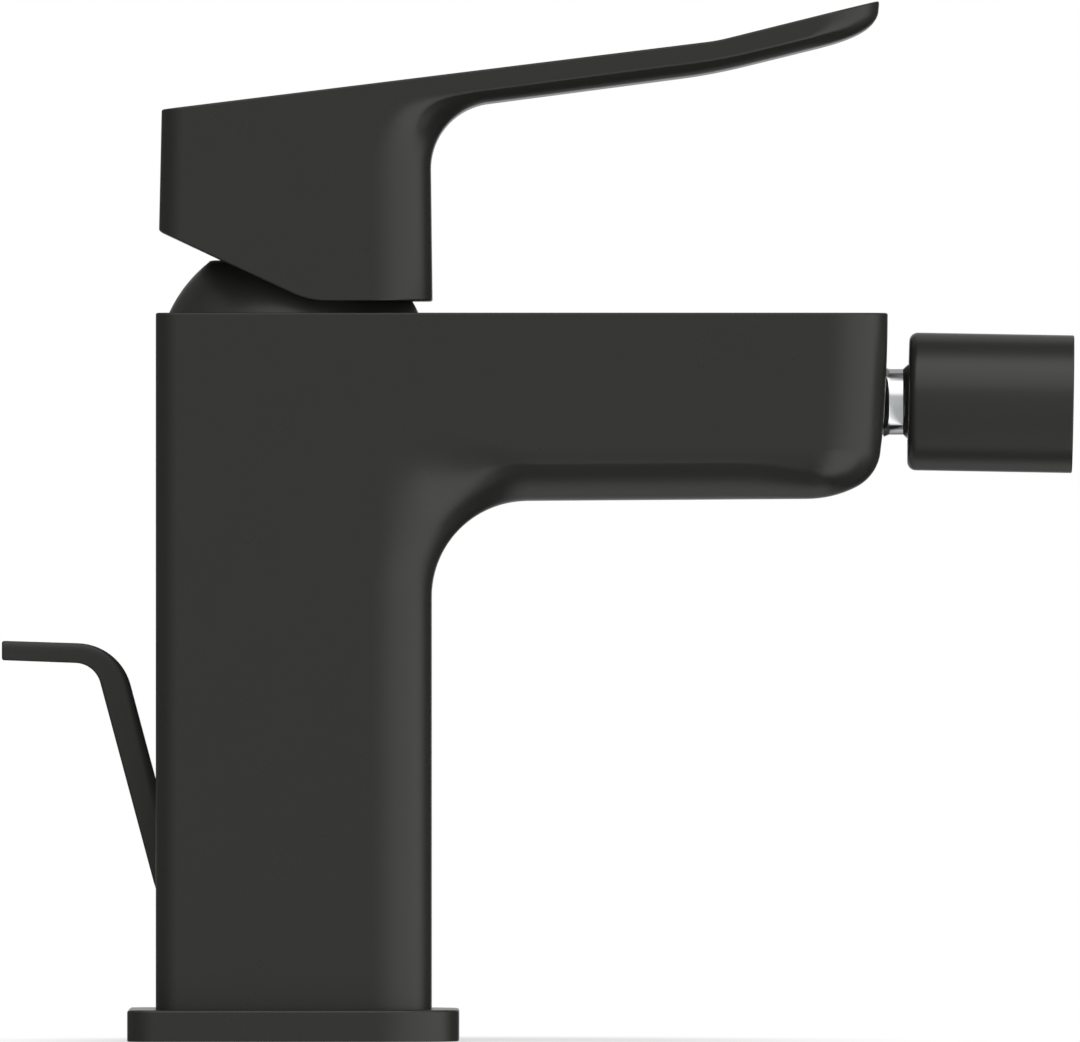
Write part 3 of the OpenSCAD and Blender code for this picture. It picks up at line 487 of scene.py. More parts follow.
tip = []
start = Vector((78.92, lever_under(78.92)))
along = Vector((1, 0.2467)).normalized()
ends = (start, start + along * 5.197, Vector((88.64, 153.135)), Vector((88.64, 156.283)))
for k in range(19):
    t = k / 18
    tip.append(ends[0] * (1 - t) ** 3 + ends[1] * 3 * t * (1 - t) ** 2 + ends[2] * 3 * t * t * (1 - t)
               + ends[3] * t ** 3)
tip.reverse()
tip_root = start + under_way(start.x) * 2.05
front = []
tip_inner = 79.7
high = lever_top(tip_inner) - EASE
for z, inner in ((lever_top(TIP) - EASE, high), (156.9, high - 0.45)):
    front.append(rim(handle, (TIP, z), (tip_inner, inner), EDGE_R, HALF))
inner_top = Vector((tip_inner, high - 1.15))
for k, spot in enumerate(tip):
    part = k / (len(tip) - 1)
    inner = inner_top.lerp(tip_root, part)
    front.append(rim(handle, spot, inner, EDGE_R - 4.04 * smooth(part), HALF, LEVER_EDGE,
                     smooth(max(0.0, (part - 0.35) / 0.65))))
for x in (74, 69, 67.2, 65.4, 63.6, 61.8, 60, 58, 44, 33):
    spot = Vector((x, lever_under(x)))
    inset = between([(33, LEVER_H), (58, LEVER_H), (64, 2.25), (70, 2.07), (76, 2.05)], x)
    front.append(rim(handle, spot, spot + under_way(x) * inset, LEVER_W, HALF, LEVER_EDGE, 1))
FILLET_Z, FILLET_R, FILLET_START = 132.215, 10.0, 97.475
FILLET = Vector((30.8, FILLET_Z))
for k in range(34):
    angle = FILLET_START + (180 - FILLET_START) * k / 33
    inset = between([(97.4, LEVER_H), (105, 2.55), (115, 3.1), (125, 4.3), (135, 6.0), (145, 7.7), (155, 8.7),
                     (165, EDGE_R), (180, EDGE_R)], angle)
    width = between([(97.4, LEVER_W), (120, 6.4), (150, 8.6), (180, EDGE_R)], angle)
    way = Vector((cos(radians(angle)), sin(radians(angle))))
    front.append(rim(handle, FILLET + way * FILLET_R, FILLET + way * (FILLET_R + inset), width, HALF,
                     LEVER_EDGE, between([(100, 1), (120, 0.85), (140, 0.55), (158, 0.15), (172, 0)], angle)))
HANDLE_LOW = 112.1
for z in (124, HANDLE_LOW + EASE):
    x = HALF + (FILLET_Z - z) * 0.012
    front.append(rim(handle, (x, z), (x - EDGE_R, z), EDGE_R, HALF))


HANDLE_REAR = -20.3
UNDER_SLOPED, UNDER_FLAT = -0.105, 4.966


def handle_under(x):
    """Height of the handle's underside: flat in front, rounded, and sloping up behind at 25 degrees."""
    if x > UNDER_FLAT:
        return HANDLE_LOW
    if x < UNDER_SLOPED:
        return 122.64 + (HANDLE_REAR - x) * tan(radians(25))
    return HANDLE_LOW + 12 - sqrt(144 - (UNDER_FLAT - x) ** 2)


rear = []
for part in (0, 0.5, 1):
    row = []
    for i in range(EDGE_STEPS + 1):
        a = pi / 2 * i / EDGE_STEPS
        x = HANDLE_REAR + 0.386 * part + REAR_R * (1 - sin(a))
        low, high = handle_under(x) + EASE, lever_top(x) - EASE
        row.append(handle.point(x, HALF - REAR_R * (1 - cos(a)), low + (high - low) * part))
    rear.append(row)
top_line = [handle.point(x, HALF, lever_top(x) - EASE)
            for x in (20, 50, 62.7, 63.2, 63.7, KINK, 64.7, 65.2, 65.7)]
low_line = [handle.point(x, HALF, handle_under(x) + EASE)
            for x in (-8, UNDER_SLOPED, 0.5, 1.2, 2, 2.8, 3.6, 4.3, UNDER_FLAT)]
for rows in (front, rear):
    handle.sheet(rows)
    handle.across([row[-1] for row in rows])
handle.side(*[row[0] for row in rear], *top_line, *[row[0] for row in front], *low_line[::-1])
handle.lid(rear[-1][::-1] + top_line + front[0], lever_top, EASE, 1)
handle.lid(rear[0][::-1] + low_line + front[-1], handle_under, EASE, -1)
handle = solid("handle_casting", handle.mesh)
print(len(front), "rims along the lever,", len(handle.data.polygons), "faces")

# %% [markdown]
# Under the block is a spherical hollow that clears the dome at every lift, a round hollow that saves
# metal, and a boss with the square socket for the stem. The boss is what the round cutter leaves out, so
# the cutter gets a hole of the boss's size first. The stem and its socket lean 12.5 degrees forward.

# %% Handle: hollow, socket and screw hole
PIVOT = Matrix.Translation((0, 0, PIVOT_Z))
STEM = PIVOT @ Matrix.Rotation(radians(12.5), 4, "Y")
SCREW = Matrix.Translation((0, 0, 126.7)) @ ALONG_X
hollow = rod("hollow", 16.3, 100, 136.25)
cut(hollow, rod("boss", 7.5, 0, 80, STEM, 64))
ball = [(0, PIVOT_Z - 21.1)] + arc(0, PIVOT_Z, 21.1, -87, 87, 58) + [(0, PIVOT_Z + 21.1)]
cut(handle, solid("dome_clearance", turned(ball, 128)), hollow,
    block("stem_socket", (-3.55, -3.55, 0), (3.55, 3.55, 34.5), STEM),
    rod("screw_hole", 2.55, 0, 30, SCREW, 48),
    rod("plug_recess", 3.55, 19.3, 30, SCREW, 64))
smoothed(handle)

# %% [markdown]
# The pull rod is a flat bar, bent once, that lifts the waste plug. Its grip is thinner than its leg and
# droops a little towards the bend, and the edges on its upper and front side are softer. A bar like this
# is a row of cross-sections along its two outlines, each a rectangle with its own corner radii. Outside the
# column the leg is a tenth of a millimetre fuller behind, and inside it stays clear of its guide.

# %% Pull rod
bar = EvenSkin()
ROD_HALF = 3.5
ROD_LEAN = 15
INNER_R = 0.4
OUTER_LONG, OUTER_SHORT = 1.6, 0.45
END_R = 0.35
rod_upper = [(-44.25, 60.6)] + arc(-32.97, 51.75, 8.5, 88.5, ROD_LEAN, 14)
rod_lower = [(-44.25, 57.65)] + arc(-33.2, 53.25, 4.0, 88.0, ROD_LEAN, 14)
leg_half = 2.1 / cos(radians(ROD_LEAN))


def leg_x(z):
    """Where the leg's middle line is at this height."""
    return -HALF - (z - 31) * tan(radians(ROD_LEAN))


def bar_row(outer, inner, shrink=0.0):
    """Half a cross-section, from the inner edge's middle strip to the outer edge's."""
    outer, inner = Vector(outer), Vector(inner)
    way = (outer - inner).normalized()
    outer, inner = outer - way * shrink, inner + way * shrink
    half = ROD_HALF - shrink
    row = []
    for k in range(7):
        a = pi / 2 * k / 6
        spot = inner + way * INNER_R * (1 - cos(a))
        row.append(bar.point(spot.x, half - INNER_R * (1 - sin(a)), spot.y))
    for k in range(10, -1, -1):
        a = pi / 2 * k / 10
        spot = outer - way * OUTER_LONG * (1 - cos(a))
        row.append(bar.point(spot.x, half - OUTER_SHORT * (1 - sin(a)), spot.y))
    return row


stations = []
for turn in (0, 30, 60, 90):
    forward = Vector((END_R * (1 - cos(radians(turn))), 0))
    stations.append(bar_row(Vector(rod_upper[0]) + forward, Vector(rod_lower[0]) + forward,
                            shrink=END_R * (1 - sin(radians(turn)))))
for outer, inner in zip(rod_upper[1:], rod_lower[1:]):
    stations.append(bar_row(outer, inner))
for z, fuller in ((46, 0.12), (30, 0.12), (24, 0.12), (22.6, 0.04), (15, 0.04), (0.5, 0.04)):
    stations.append(bar_row((leg_x(z) + leg_half, z), (leg_x(z) - leg_half - fuller, z)))
bar.sheet(stations)
bar.across([row[0] for row in stations])
bar.across([row[-1] for row in stations])
for row in (stations[0], stations[-1]):
    bar.mesh.faces.new([pair[0] for pair in row] + [pair[1] for pair in reversed(row)])
bar = solid("pull_rod_bar", bar.mesh)
cut(bar, rod("link_hole", 1.25, -4, 8,
             Matrix.Translation((leg_x(0.5), 0, 0.5)) @ Matrix.Rotation(radians(-ROD_LEAN), 4, "Y"), 32))
smoothed(bar, 40)

# %% [markdown]
# Neck and ball are one turned and polished piece. A mirror finish shows every facet, so it is swept in
# fine steps. The neck flares a little where it meets the spout's face, and its front is cut flat round
# the water way. It lies along X, so the turned shape is laid over about the ball's middle.

# %% Ball stem
BALL_MIDDLE = Matrix.Translation((97.85, 0, BALL_Z))
BALL = BALL_MIDDLE @ ALONG_X
ball_front = degrees(atan2(6.2, 4.04))
flare = [(5.36, -8.35), (5.33, -8.3), (5.14, -7.85), (5.02, -7.55), (5, -7.45)]
root = -degrees(atan2(5.455, 5.0))
outline = [(2.6, -16.85), (4.7, -16.85), (5, -16.55), (5, -13.85), (3.6, -13.85), (3.6, -12.25), (5, -12.25),
           (5, -8.45)] + flare \
    + arc(0, 0, 7.4, root, ball_front - 1, 40) + [(3.9, 6.2), (2.75, 6.2), (2.6, 6.05)]
stem = turned(outline, 144)
stem.transform(BALL)
stem = smoothed(solid("ball_stem_polished", stem), 28)

# %% [markdown]
# The aerator's housing is a turned tube that closes round the ball behind. Its back edge is well
# rounded and its front edge is crisp. It hangs one degree nose-down in the photograph.

# %% Aerator housing
AERATOR = BALL_MIDDLE @ Matrix.Rotation(radians(1), 4, "Y") @ ALONG_X
seat = arc(0, 0, 8.4, -33.53, 0, 12)[1:]
outline = eased([(7.0, -4.64, 0.15), (10.45, -4.64, 1.3), (10.45, 20.36, 0.22), (8.4, 20.36, 0.25),
                 (8.4, 0.02, 0)], 8)
outline += seat[-2::-1]
housing = turned(outline, 144)
housing.transform(AERATOR)
housing = smoothed(solid("aerator_housing_turned", housing))

# %% [markdown]
# Shader maths reads better as maths. This class wraps a socket, so that `1 - mask * 0.3` adds the two
# Math nodes, and a bench makes any other node from its type, its settings and its inputs.

# %% Node bench
class Wire:
    """A number on its way through a node tree."""

    def __init__(self, bench, socket):
        self.bench, self.socket = bench, socket

    def sums(self, kind, *others):
        return self.bench.node("ShaderNodeMath", {"operation": kind}, dict(enumerate(others)))

    def __add__(self, other): return self.sums("ADD", self, other)
    def __radd__(self, other): return self.sums("ADD", other, self)
    def __sub__(self, other): return self.sums("SUBTRACT", self, other)
    def __rsub__(self, other): return self.sums("SUBTRACT", other, self)
    def __mul__(self, other): return self.sums("MULTIPLY", self, other)
    def __rmul__(self, other): return self.sums("MULTIPLY", other, self)
    def __truediv__(self, other): return self.sums("DIVIDE", self, other)
    def __pow__(self, other): return self.sums("POWER", self, other)
    def __gt__(self, other): return self.sums("GREATER_THAN", self, other)
    def most(self, other): return self.sums("MAXIMUM", self, other)
    def size(self): return self.sums("ABSOLUTE", self)

    def step(self, start, end, low=0.0, high=1.0):
        """Goes smoothly from low to high between start and end."""
        return self.bench.node("ShaderNodeMapRange", {"interpolation_type": "SMOOTHSTEP", "clamp": True},
                               {0: self, 1: start, 2: end, 3: low, 4: high})


class Bench:
    """Makes the nodes of one tree."""

    def __init__(self, tree):
        self.tree = tree
        tree.nodes.clear()

    def node(self, kind, settings=None, inputs=None, out=0):
        made = self.tree.nodes.new(kind)
        for name, value in (settings or {}).items():
            if name == "stops":
                ramp = made.color_ramp
                while len(ramp.elements) < len(value):
                    ramp.elements.new(0.5)
                for stop, (place, colour) in zip(ramp.elements, value):
                    stop.position, stop.color = place, colour
            else:
                setattr(made, name, value)
        for key, value in (inputs or {}).items():
            socket = made.inputs[key]
            if isinstance(value, Wire):
                self.tree.links.new(value.socket, socket)
            else:
                socket.default_value = value
        return Wire(self, made.outputs[out]) if len(made.outputs) else None

    def mix(self, factor, a, b):
        """A colour between two colours."""
        return self.node("ShaderNodeMix", {"data_type": "RGBA"}, {0: factor, 6: a, 7: b}, 2)

    def noise(self, place, scale, detail=2.0, rough=0.5):
        return self.node("ShaderNodeTexNoise", {}, {"Vector": place, "Scale": scale, "Detail": detail,
                                                    "Roughness": rough})


def grey(value):
    return (value, value, value, 1)


print("node bench ready")

# %% [markdown]
# The black is a matt coat on smooth metal, not a flat black paint: its grain is a few tenths of a
# millimetre wide and hardly deep, and it spreads light wide enough that a round edge glows softly and no
# lamp shows as a spot. So the colour is very dark and the look comes from roughness. Fine noise in Object
# coordinates gives the grain as bump, and a slower noise makes the sheen a little uneven.

# %% Matt black coat
def coat(name, colour, rough):
    """A sprayed coat with fine grain."""
    material = bpy.data.materials.new(name)
    material.use_nodes = True
    bench = Bench(material.node_tree)
    place = bench.node("ShaderNodeTexCoord", out=3)
    fine = bench.noise(place, 2200, 2, 0.6)
    cloud = bench.noise(place, 90, 3, 0.55)
    shade = 0.975 + cloud * 0.05
    tint = bench.node("ShaderNodeVectorMath", {"operation": "SCALE"}, {0: colour, 3: shade})
    bump = bench.node("ShaderNodeBump", {}, {"Strength": 0.025, "Distance": 0.00004, "Height": fine})
    bench.node("ShaderNodeOutputMaterial", {}, {0: bench.node("ShaderNodeBsdfPrincipled", {}, {
        "Base Color": tint, "Roughness": rough - 0.02 + cloud * 0.04, "Normal": bump})})
    return material


COAT_COLOUR = (0.0294, 0.0294, 0.0258)
black_body = coat("matt_black_coat", COAT_COLOUR, 0.28)
# The cap's coat is a lighter copy of the body's coat. This is painted light: it lifts the slice of cap seen
# in the shaded gap under the handle.
black_cap = coat("matt_black_cap_painted_light", (0.045, 0.045, 0.041), 0.36)
print("coats made")

# %% [markdown]
# Chrome is nearly a perfect mirror over nickel: a light grey metal with very low roughness. Real polish
# keeps faint marks round the turning axis, so the roughness gets a slow noise and fine rings along X.

# %% Polished chrome
def metal(name, colour, rough, rings=0.0, axis=0, spread=0.03, grain=0.0):
    """A bare metal with fine turning rings along one axis and slightly uneven gloss."""
    material = bpy.data.materials.new(name)
    material.use_nodes = True
    bench = Bench(material.node_tree)
    place = bench.node("ShaderNodeTexCoord", out=3)
    apart = bench.node("ShaderNodeSeparateXYZ", {}, {0: place}, axis)
    ring = bench.node("ShaderNodeMath", {"operation": "SINE"}, {0: apart * 2 * pi / 0.00022})
    cloud = bench.noise(place, 140, 3, 0.6)
    fine = bench.noise(place, 3000, 2, 0.6)
    shade = 0.95 + cloud * 0.08
    tint = bench.node("ShaderNodeVectorMath", {"operation": "SCALE"}, {0: colour, 3: shade})
    bump = bench.node("ShaderNodeBump", {}, {"Strength": 0.25, "Distance": 0.00001,
                                             "Height": ring * rings + fine * grain})
    bench.node("ShaderNodeOutputMaterial", {}, {0: bench.node("ShaderNodeBsdfPrincipled", {}, {
        "Base Color": tint, "Roughness": rough + cloud * spread, "Metallic": 1.0, "Normal": bump})})
    return material


chrome = metal("polished_chrome", (0.86, 0.87, 0.88), 0.03, 0.05, 0, 0.02)
brass = metal("turned_brass", (0.62, 0.44, 0.17), 0.22, 0.6, 2, 0.12, 0.3)
steel = metal("bright_steel", (0.56, 0.57, 0.58), 0.24, 0.2, 2, 0.08, 0.2)
print("metals made")

# %% [markdown]
# Seals, plastics and ceramic sit inside. Moulded plastic has a fine spark-eroded grain and a little
# light in its surface, rubber is duller and darker, and the lapped ceramic discs are smooth and pale.
# The index plug is one small moulding, half blue and half red, split in the middle.

# %% Plastics, rubber and ceramic
def moulded(name, colour, rough, grain=0.5, scale=2600, other=None):
    """A moulded part: fine grain and slightly cloudy gloss. other is a second colour beyond y = 0."""
    material = bpy.data.materials.new(name)
    material.use_nodes = True
    bench = Bench(material.node_tree)
    place = bench.node("ShaderNodeTexCoord", out=3)
    fine = bench.noise(place, scale, 3, 0.6)
    cloud = bench.noise(place, 160, 2, 0.5)
    base = colour if other is None else bench.mix(
        bench.node("ShaderNodeSeparateXYZ", {}, {0: place}, 1) > 0.0, (*colour, 1), (*other, 1))
    tint = bench.node("ShaderNodeVectorMath", {"operation": "SCALE"}, {0: base, 3: 0.93 + cloud * 0.12})
    bump = bench.node("ShaderNodeBump", {}, {"Strength": 0.3 * grain, "Distance": 0.00004, "Height": fine})
    bench.node("ShaderNodeOutputMaterial", {}, {0: bench.node("ShaderNodeBsdfPrincipled", {}, {
        "Base Color": tint, "Roughness": rough - 0.04 + cloud * 0.08 + fine * 0.03, "Normal": bump})})
    return material


finishes = {
    "black_body": black_body,
    "black_cap": black_cap,
    "polished_chrome": chrome,
    "raw_brass": brass,
    "steel": steel,
    "seal_rubber": moulded("seal_rubber", (0.022, 0.022, 0.022), 0.62, 0.8, 1800),
    "white_plastic": moulded("white_acetal", (0.78, 0.78, 0.75), 0.38),
    "grey_plastic": moulded("grey_acetal", (0.16, 0.17, 0.18), 0.42),
    "red_plastic": moulded("red_acetal", (0.42, 0.05, 0.035), 0.4),
    "index_plastic": moulded("index_blue_and_red", (0.5, 0.03, 0.025), 0.3, 0.3, 2600, (0.03, 0.12, 0.42)),
    "disc_ceramic": moulded("lapped_ceramic", (0.83, 0.81, 0.76), 0.16, 0.2, 4000),
}
slots = {part["node"]: part["material_slot"] for part in frame["record"]["subparts"]}
print(len(finishes), "finishes for slots", sorted(set(slots.values())))

# %% [markdown]
# The outlet is a moulded grid, and behind it stand three woven wire screens. Both repeat one short
# element, so Geometry Nodes make them: a line of points gives the places, a cube or a cylinder is
# instanced on each, its length follows the circle's chord, and the same set turned by 90 degrees gives
# the other way of the weave. Sizes are inputs of the tree, and Set Material gives the finish.

# %% Geometry Nodes: bars in a circle
def crossed_bars(name, material, round_bars):
    """A node tree that fills a circle with crossed bars, in the XY plane, centred on the origin."""
    tree = bpy.data.node_groups.new(name, "GeometryNodeTree")
    keys = {}
    for label, start in (("Radius", 0.007), ("Pitch", 0.0019), ("Bar", 0.0005), ("Depth", 0.002),
                         ("Weave", 0.0)):
        keys[label] = tree.interface.new_socket(label, in_out="INPUT", socket_type="NodeSocketFloat")
        keys[label].default_value = start
    tree.interface.new_socket("Geometry", in_out="OUTPUT", socket_type="NodeSocketGeometry")
    bench = Bench(tree)
    given = tree.nodes.new("NodeGroupInput")
    radius, pitch, bar_w, depth, weave = (Wire(bench, given.outputs[label])
                                          for label in ("Radius", "Pitch", "Bar", "Depth", "Weave"))
    half_count = bench.node("ShaderNodeMath", {"operation": "FLOOR"}, {0: (radius - bar_w) / pitch})
    count = half_count * 2 + 1
    reach = half_count * pitch
    points = bench.node("GeometryNodeMeshLine", {"mode": "OFFSET"}, {
        "Count": bench.node("FunctionNodeFloatToInt", {}, {0: count}),
        "Start Location": bench.node("ShaderNodeCombineXYZ", {}, {0: 0.0, 1: 0.0 - reach, 2: 0.0}),
        "Offset": bench.node("ShaderNodeCombineXYZ", {}, {0: 0.0, 1: pitch, 2: 0.0})})
    if round_bars:
        unit = bench.node("GeometryNodeMeshCylinder", {}, {"Vertices": 6, "Radius": 0.5, "Depth": 1.0,
                                                           "Side Segments": 1})
        unit = bench.node("GeometryNodeTransform", {}, {"Geometry": unit, "Rotation": (0, pi / 2, 0)})
    else:
        unit = bench.node("GeometryNodeMeshCube", {}, {"Size": (1, 1, 1)})
    place_y = bench.node("ShaderNodeSeparateXYZ", {}, {0: bench.node("GeometryNodeInputPosition")}, 1)
    chord = bench.node("ShaderNodeMath", {"operation": "SQRT"},
                       {0: (radius * radius - place_y * place_y).most(0.0)}) * 2
    bars = bench.node("GeometryNodeInstanceOnPoints", {}, {
        "Points": points, "Instance": unit,
        "Scale": bench.node("ShaderNodeCombineXYZ", {}, {0: chord, 1: bar_w, 2: depth})})
    lift = bench.node("ShaderNodeCombineXYZ", {}, {0: 0.0, 1: 0.0, 2: weave})
    drop = bench.node("ShaderNodeCombineXYZ", {}, {0: 0.0, 1: 0.0, 2: 0.0 - weave})
    one = bench.node("GeometryNodeTransform", {}, {"Geometry": bars, "Translation": lift})
    two = bench.node("GeometryNodeTransform", {}, {"Geometry": bars, "Translation": drop,
                                                   "Rotation": (0, 0, pi / 2)})
    both = tree.nodes.new("GeometryNodeJoinGeometry")
    tree.links.new(two.socket, both.inputs[0])
    tree.links.new(one.socket, both.inputs[0])
    real = bench.node("GeometryNodeRealizeInstances", {}, {0: Wire(bench, both.outputs[0])})
    done = bench.node("GeometryNodeSetMaterial", {}, {"Geometry": real, "Material": material})
    out = tree.nodes.new("NodeGroupOutput")
    tree.links.new(done.socket, out.inputs[0])
    return tree, {label: item.identifier for label, item in keys.items()}


def grown(name, tree, keys, values):
    """Runs a node tree once with these inputs and keeps the result as plain mesh data."""
    host = linked(name, bpy.data.meshes.new(name))
    grower = host.modifiers.new("grow", "NODES")
    grower.node_group = tree
    for label, value in values.items():
        grower[keys[label]] = value
    return applied(host)


grid_tree, grid_keys = crossed_bars("crossed_grid_bars", finishes["grey_plastic"], False)
grid = grown("outlet_grid_moulded", grid_tree, grid_keys,
             {"Radius": 6.7 * MM, "Pitch": 1.9 * MM, "Bar": 0.5 * MM, "Depth": 1.9 * MM, "Weave": 0.05 * MM})
rim_ring = turned(eased([(6.1, 17.56, 0.1), (7.0, 17.56, 0.1), (7.0, 19.76, 0.2), (6.1, 19.76, 0.3)], 4), 96)
whole = bmesh.new()
whole.from_mesh(grid.data)
bmesh.ops.transform(whole, matrix=Matrix.Scale(1 / MM, 4), verts=whole.verts)
bmesh.ops.translate(whole, vec=(0, 0, 18.66), verts=whole.verts)
ring_data = bpy.data.meshes.new("ring")
rim_ring.to_mesh(ring_data)
whole.from_mesh(ring_data)
bpy.data.objects.remove(grid)
whole.transform(AERATOR)
whole.transform(Matrix.Scale(MM, 4))
grid_mesh = bpy.data.meshes.new("outlet_grid_moulded")
whole.to_mesh(grid_mesh)
grid = linked("outlet_grid_moulded", grid_mesh)
bevel = grid.modifiers.new("bevel", "BEVEL")
bevel.width, bevel.segments, bevel.limit_method = 0.06 * MM, 2, "ANGLE"
applied(grid)
smoothed(grid, 50)

# %% [markdown]
# The three screens are the same tree with thin round wires, laid one behind the other. Each wire set is
# nearly half a wire off the middle, so the two ways touch where they cross. A thin hoop holds each screen.

# %% Mesh screens
screen_tree, screen_keys = crossed_bars("crossed_screen_wires", steel, True)
SCREEN_BACK, SCREEN_STEP, SCREEN_T = 12.0, 1.589, 0.3
wires = bmesh.new()
for layer in range(3):
    back = SCREEN_BACK + SCREEN_STEP * layer
    one = grown("screen", screen_tree, screen_keys, {
        "Radius": 6.85 * MM, "Pitch": 0.45 * MM, "Bar": 0.13 * MM, "Depth": 0.13 * MM,
        "Weave": 0.06 * MM})
    start = len(wires.verts)
    wires.from_mesh(one.data)
    bpy.data.objects.remove(one)
    wires.verts.ensure_lookup_table()
    turn = Matrix.Rotation(0.35 * layer, 4, "Z")
    lay = Matrix.Translation((0, 0, (back + SCREEN_T / 2) * MM)) @ turn
    bmesh.ops.transform(wires, matrix=lay, verts=wires.verts[start:])
    hoop = turned([(6.75, back), (7.0, back), (7.0, back + SCREEN_T), (6.75, back + SCREEN_T)], 64)
    hoop.transform(Matrix.Scale(MM, 4))
    hoop.to_mesh(ring_data)
    wires.from_mesh(ring_data)
wires.transform(Matrix.Scale(1 / MM, 4))
wires.transform(AERATOR)
wires.transform(Matrix.Scale(MM, 4))
screen_mesh = bpy.data.meshes.new("mesh_screens_woven")
wires.to_mesh(screen_mesh)
screens = linked("mesh_screens_woven", screen_mesh)
smoothed(screens, 60)

# %% [markdown]
# Every finished piece takes the place of its CAD node, which is hidden, rides on that node's body and gets
# the finish of the node's slot. All other nodes stay as they are and get the same finishes.

# %% Put the pieces on their bodies
places = {
    "body": (body, "fixed_body"),
    "base_plate": (plate, "fixed_body"),
    "dome_cap": (cap, "fixed_body"),
    "handle": (handle, "lever"),
    "pull_rod": (bar, "waste_rod"),
    "ball_stem": (stem, "fixed_body"),
    "aerator_housing": (housing, "aerator"),
    "outlet_grid": (grid, "aerator"),
    "mesh_screens": (screens, "aerator"),
}
for node, (piece, rides_on) in places.items():
    piece.data.materials.clear()
    piece.data.materials.append(finishes[slots[node]])
    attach(piece, rides_on)
    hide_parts(node)
for name, thing in nodes.items():
    if name not in places:
        thing.data.materials.clear()
        thing.data.materials.append(finishes[slots[name]])
print(len(places), "pieces made,", len(nodes) - len(places), "CAD nodes kept")

# %% [markdown]
# A small pale floor keeps the object's soft shadow near the base and fades to the white background, so
# that no horizon shows. Mirrors and glass look through it at the studio below, and so does a camera
# under it. It lies a tenth of a millimetre low, so that it never shares a plane with the base.

# %% Floor
floor_mesh = bmesh.new()
bmesh.ops.create_circle(floor_mesh, cap_ends=True, segments=96, radius=0.6)
floor_data = bpy.data.meshes.new("floor")
floor_mesh.to_mesh(floor_data)
floor = linked("floor", floor_data)
floor.location = (0, 0, -0.1 * MM)
floor_look = bpy.data.materials.new("pale_floor")
floor_look.use_nodes = True
bench = Bench(floor_look.node_tree)
place = bench.node("ShaderNodeTexCoord", out=3)
x, y = (bench.node("ShaderNodeSeparateXYZ", {}, {0: place}, k) for k in (0, 1))
away = ((x - 0.02) ** 2 + y ** 2) ** 0.5
speckle = bench.noise(place, 400, 2)
pale = bench.node("ShaderNodeBsdfDiffuse", {}, {0: bench.mix(speckle * 0.05, grey(0.9), grey(0.8))})
white = bench.node("ShaderNodeEmission", {}, {0: grey(1.0), 1: 1.0})
camera_ray = bench.node("ShaderNodeLightPath", out=0)
glossy_ray = bench.node("ShaderNodeLightPath", out=3)
clear = bench.node("ShaderNodeBsdfTransparent")
fade = 0.6 + away.step(0.03, 0.085) * 0.4
shown = bench.node("ShaderNodeMixShader", {}, {0: fade * camera_ray, 1: pale, 2: white})
from_below = bench.node("ShaderNodeNewGeometry", out="Backfacing")
shown = bench.node("ShaderNodeMixShader", {}, {0: glossy_ray.most(from_below), 1: shown, 2: clear})
bench.node("ShaderNodeOutputMaterial", {}, {0: shown})
floor.data.materials.append(floor_look)

# %% [markdown]
# The studio is the world: a white background for the camera, and for everything else a soft room whose
# brightness depends on direction. It has a large soft light in front on the right and above, a dimmer
# front, a dark left, dark flags behind at both sides, which draw the black object's edges, a dark
# stretch below, and the white backdrop behind. A matt face towards the camera gets 0.7 of a plain level
# of 1, one that looks up 0.6 and one that looks away 0.2, so colours come out darker on the far side.

# %% Studio light
world = bpy.data.worlds.new("studio")
bpy.context.scene.world = world
world.use_nodes = True
bench = Bench(world.node_tree)
toward = bench.node("ShaderNodeTexCoord", out=0)
dx, dy, dz = (bench.node("ShaderNodeSeparateXYZ", {}, {0: toward}, k) for k in range(3))
DEGREES = 180 / pi
azimuth = bench.node("ShaderNodeMath", {"operation": "ARCTAN2"}, {0: dx, 1: 0.0 - dy}) * DEGREES
elevation = bench.node("ShaderNodeMath", {"operation": "ARCSINE"}, {0: dz}) * DEGREES


def levels(wire, low, high, table):
    """A level read from a table of (angle, level), for an angle from low to high."""
    stops = [((at - low) / (high - low), grey(value / 2)) for at, value in table]
    return bench.node("ShaderNodeValToRGB", {"stops": stops}, {0: (wire - low) / (high - low)}) * 2


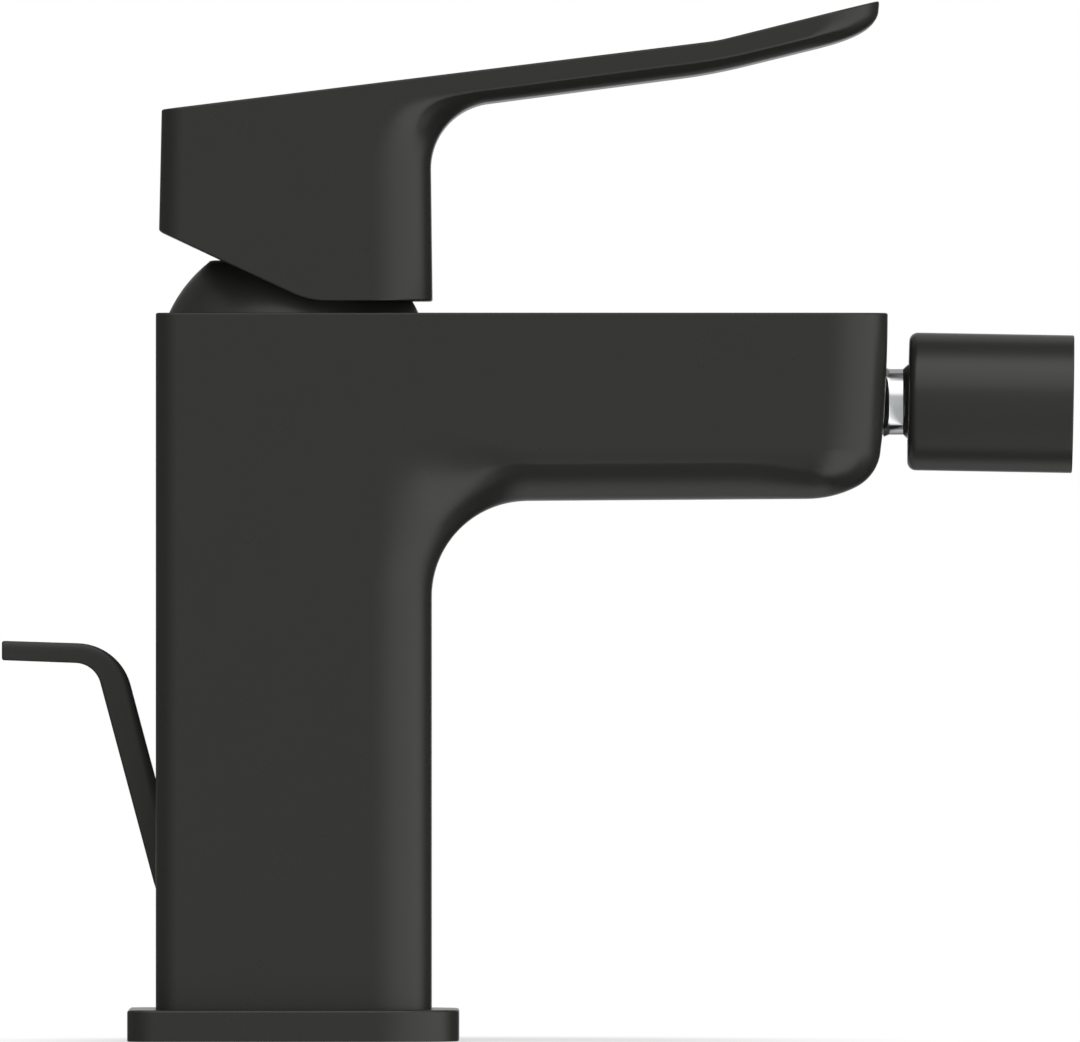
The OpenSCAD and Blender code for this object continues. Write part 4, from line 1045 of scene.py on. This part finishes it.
around = levels(azimuth, -180, 180, [
    (-180, 0.8), (-172, 0.8), (-162, 0.1), (-110, 0.1), (-60, 0.14), (-18, 0.38), (0, 0.45), (14, 0.52),
    (48, 0.96), (62, 1.02), (96, 1.02), (112, 0.6), (124, 0.06), (162, 0.03), (172, 0.8), (180, 0.8)])
sideways = azimuth.size()
back = sideways.step(85, 125)
wall = sideways.step(158, 172)
low_right = levels(azimuth, -180, 180, [
    (-180, 0.8), (-60, 0.2), (-18, 0.4), (0, 0.41), (9, 0.44), (18, 0.95), (28, 1.32), (60, 1.28),
    (80, 1.18), (92, 0.9), (104, 0.38), (118, 0.16), (140, 0.08), (164, 0.1), (174, 0.8), (180, 0.8)])
pitch = bench.node("ShaderNodeMath", {"operation": "ARCTAN2"}, {0: dz, 1: 0.0 - dy}) * DEGREES
aside = bench.node("ShaderNodeMath", {"operation": "ARCSINE"}, {0: dx}).size() * DEGREES
below = levels(pitch, -180, 0, [
    (-180, 1.0), (-165, 0.2), (-150, 0.22), (-135, 0.45), (-122, 0.6), (-115, 0.5), (-110, 0.2),
    (-96, 0.15), (-91, 0.22), (-86, 0.6), (-79, 0.95), (-66, 1.0), (0, 1.0)])
below = below + (1 - below) * aside.step(55, 74)
above_front = levels(elevation, 0, 90, [
    (0, 0.5), (20, 0.55), (31, 1.1), (44, 1.2), (55, 1.42), (72, 1.42), (83, 0.6), (90, 0.25)])
above_back = levels(elevation, 0, 90, [
    (0, 0.8), (20, 0.3), (34, 0.36), (52, 0.4), (63, 0.1), (76, 0.15), (90, 0.25)])
above_front = above_front * (1 - (0.0 - azimuth).step(20, 80) * 0.6)
above_back = above_back * (0.45 + 0.55 * wall.most(elevation.step(70, 88)))
under = (0.0 - elevation).step(2, 26)
level = (around * (1 - under) + low_right * under) * (below * under + 1 - under)
above = above_front * (1 - back) + above_back * back
high = elevation.step(8, 24)
level = level * (1 - high) + above * high
camera_ray = bench.node("ShaderNodeLightPath", out=0)
through_ray = bench.node("ShaderNodeLightPath", out=6)
studio = bench.node("ShaderNodeBackground", {}, {0: grey(1.0), 1: level})
backdrop = bench.node("ShaderNodeBackground", {}, {0: grey(1.0), 1: 1.0})
bench.node("ShaderNodeOutputWorld", {}, {0: bench.node("ShaderNodeMixShader", {}, {
    0: camera_ray.most(through_ray), 1: studio, 2: backdrop})})
bpy.context.scene.view_settings.view_transform = "Standard"
print("studio ready")

# %% [markdown]
# Last, the view layer is brought up to date.

# %% Finish
bpy.context.view_layer.update()
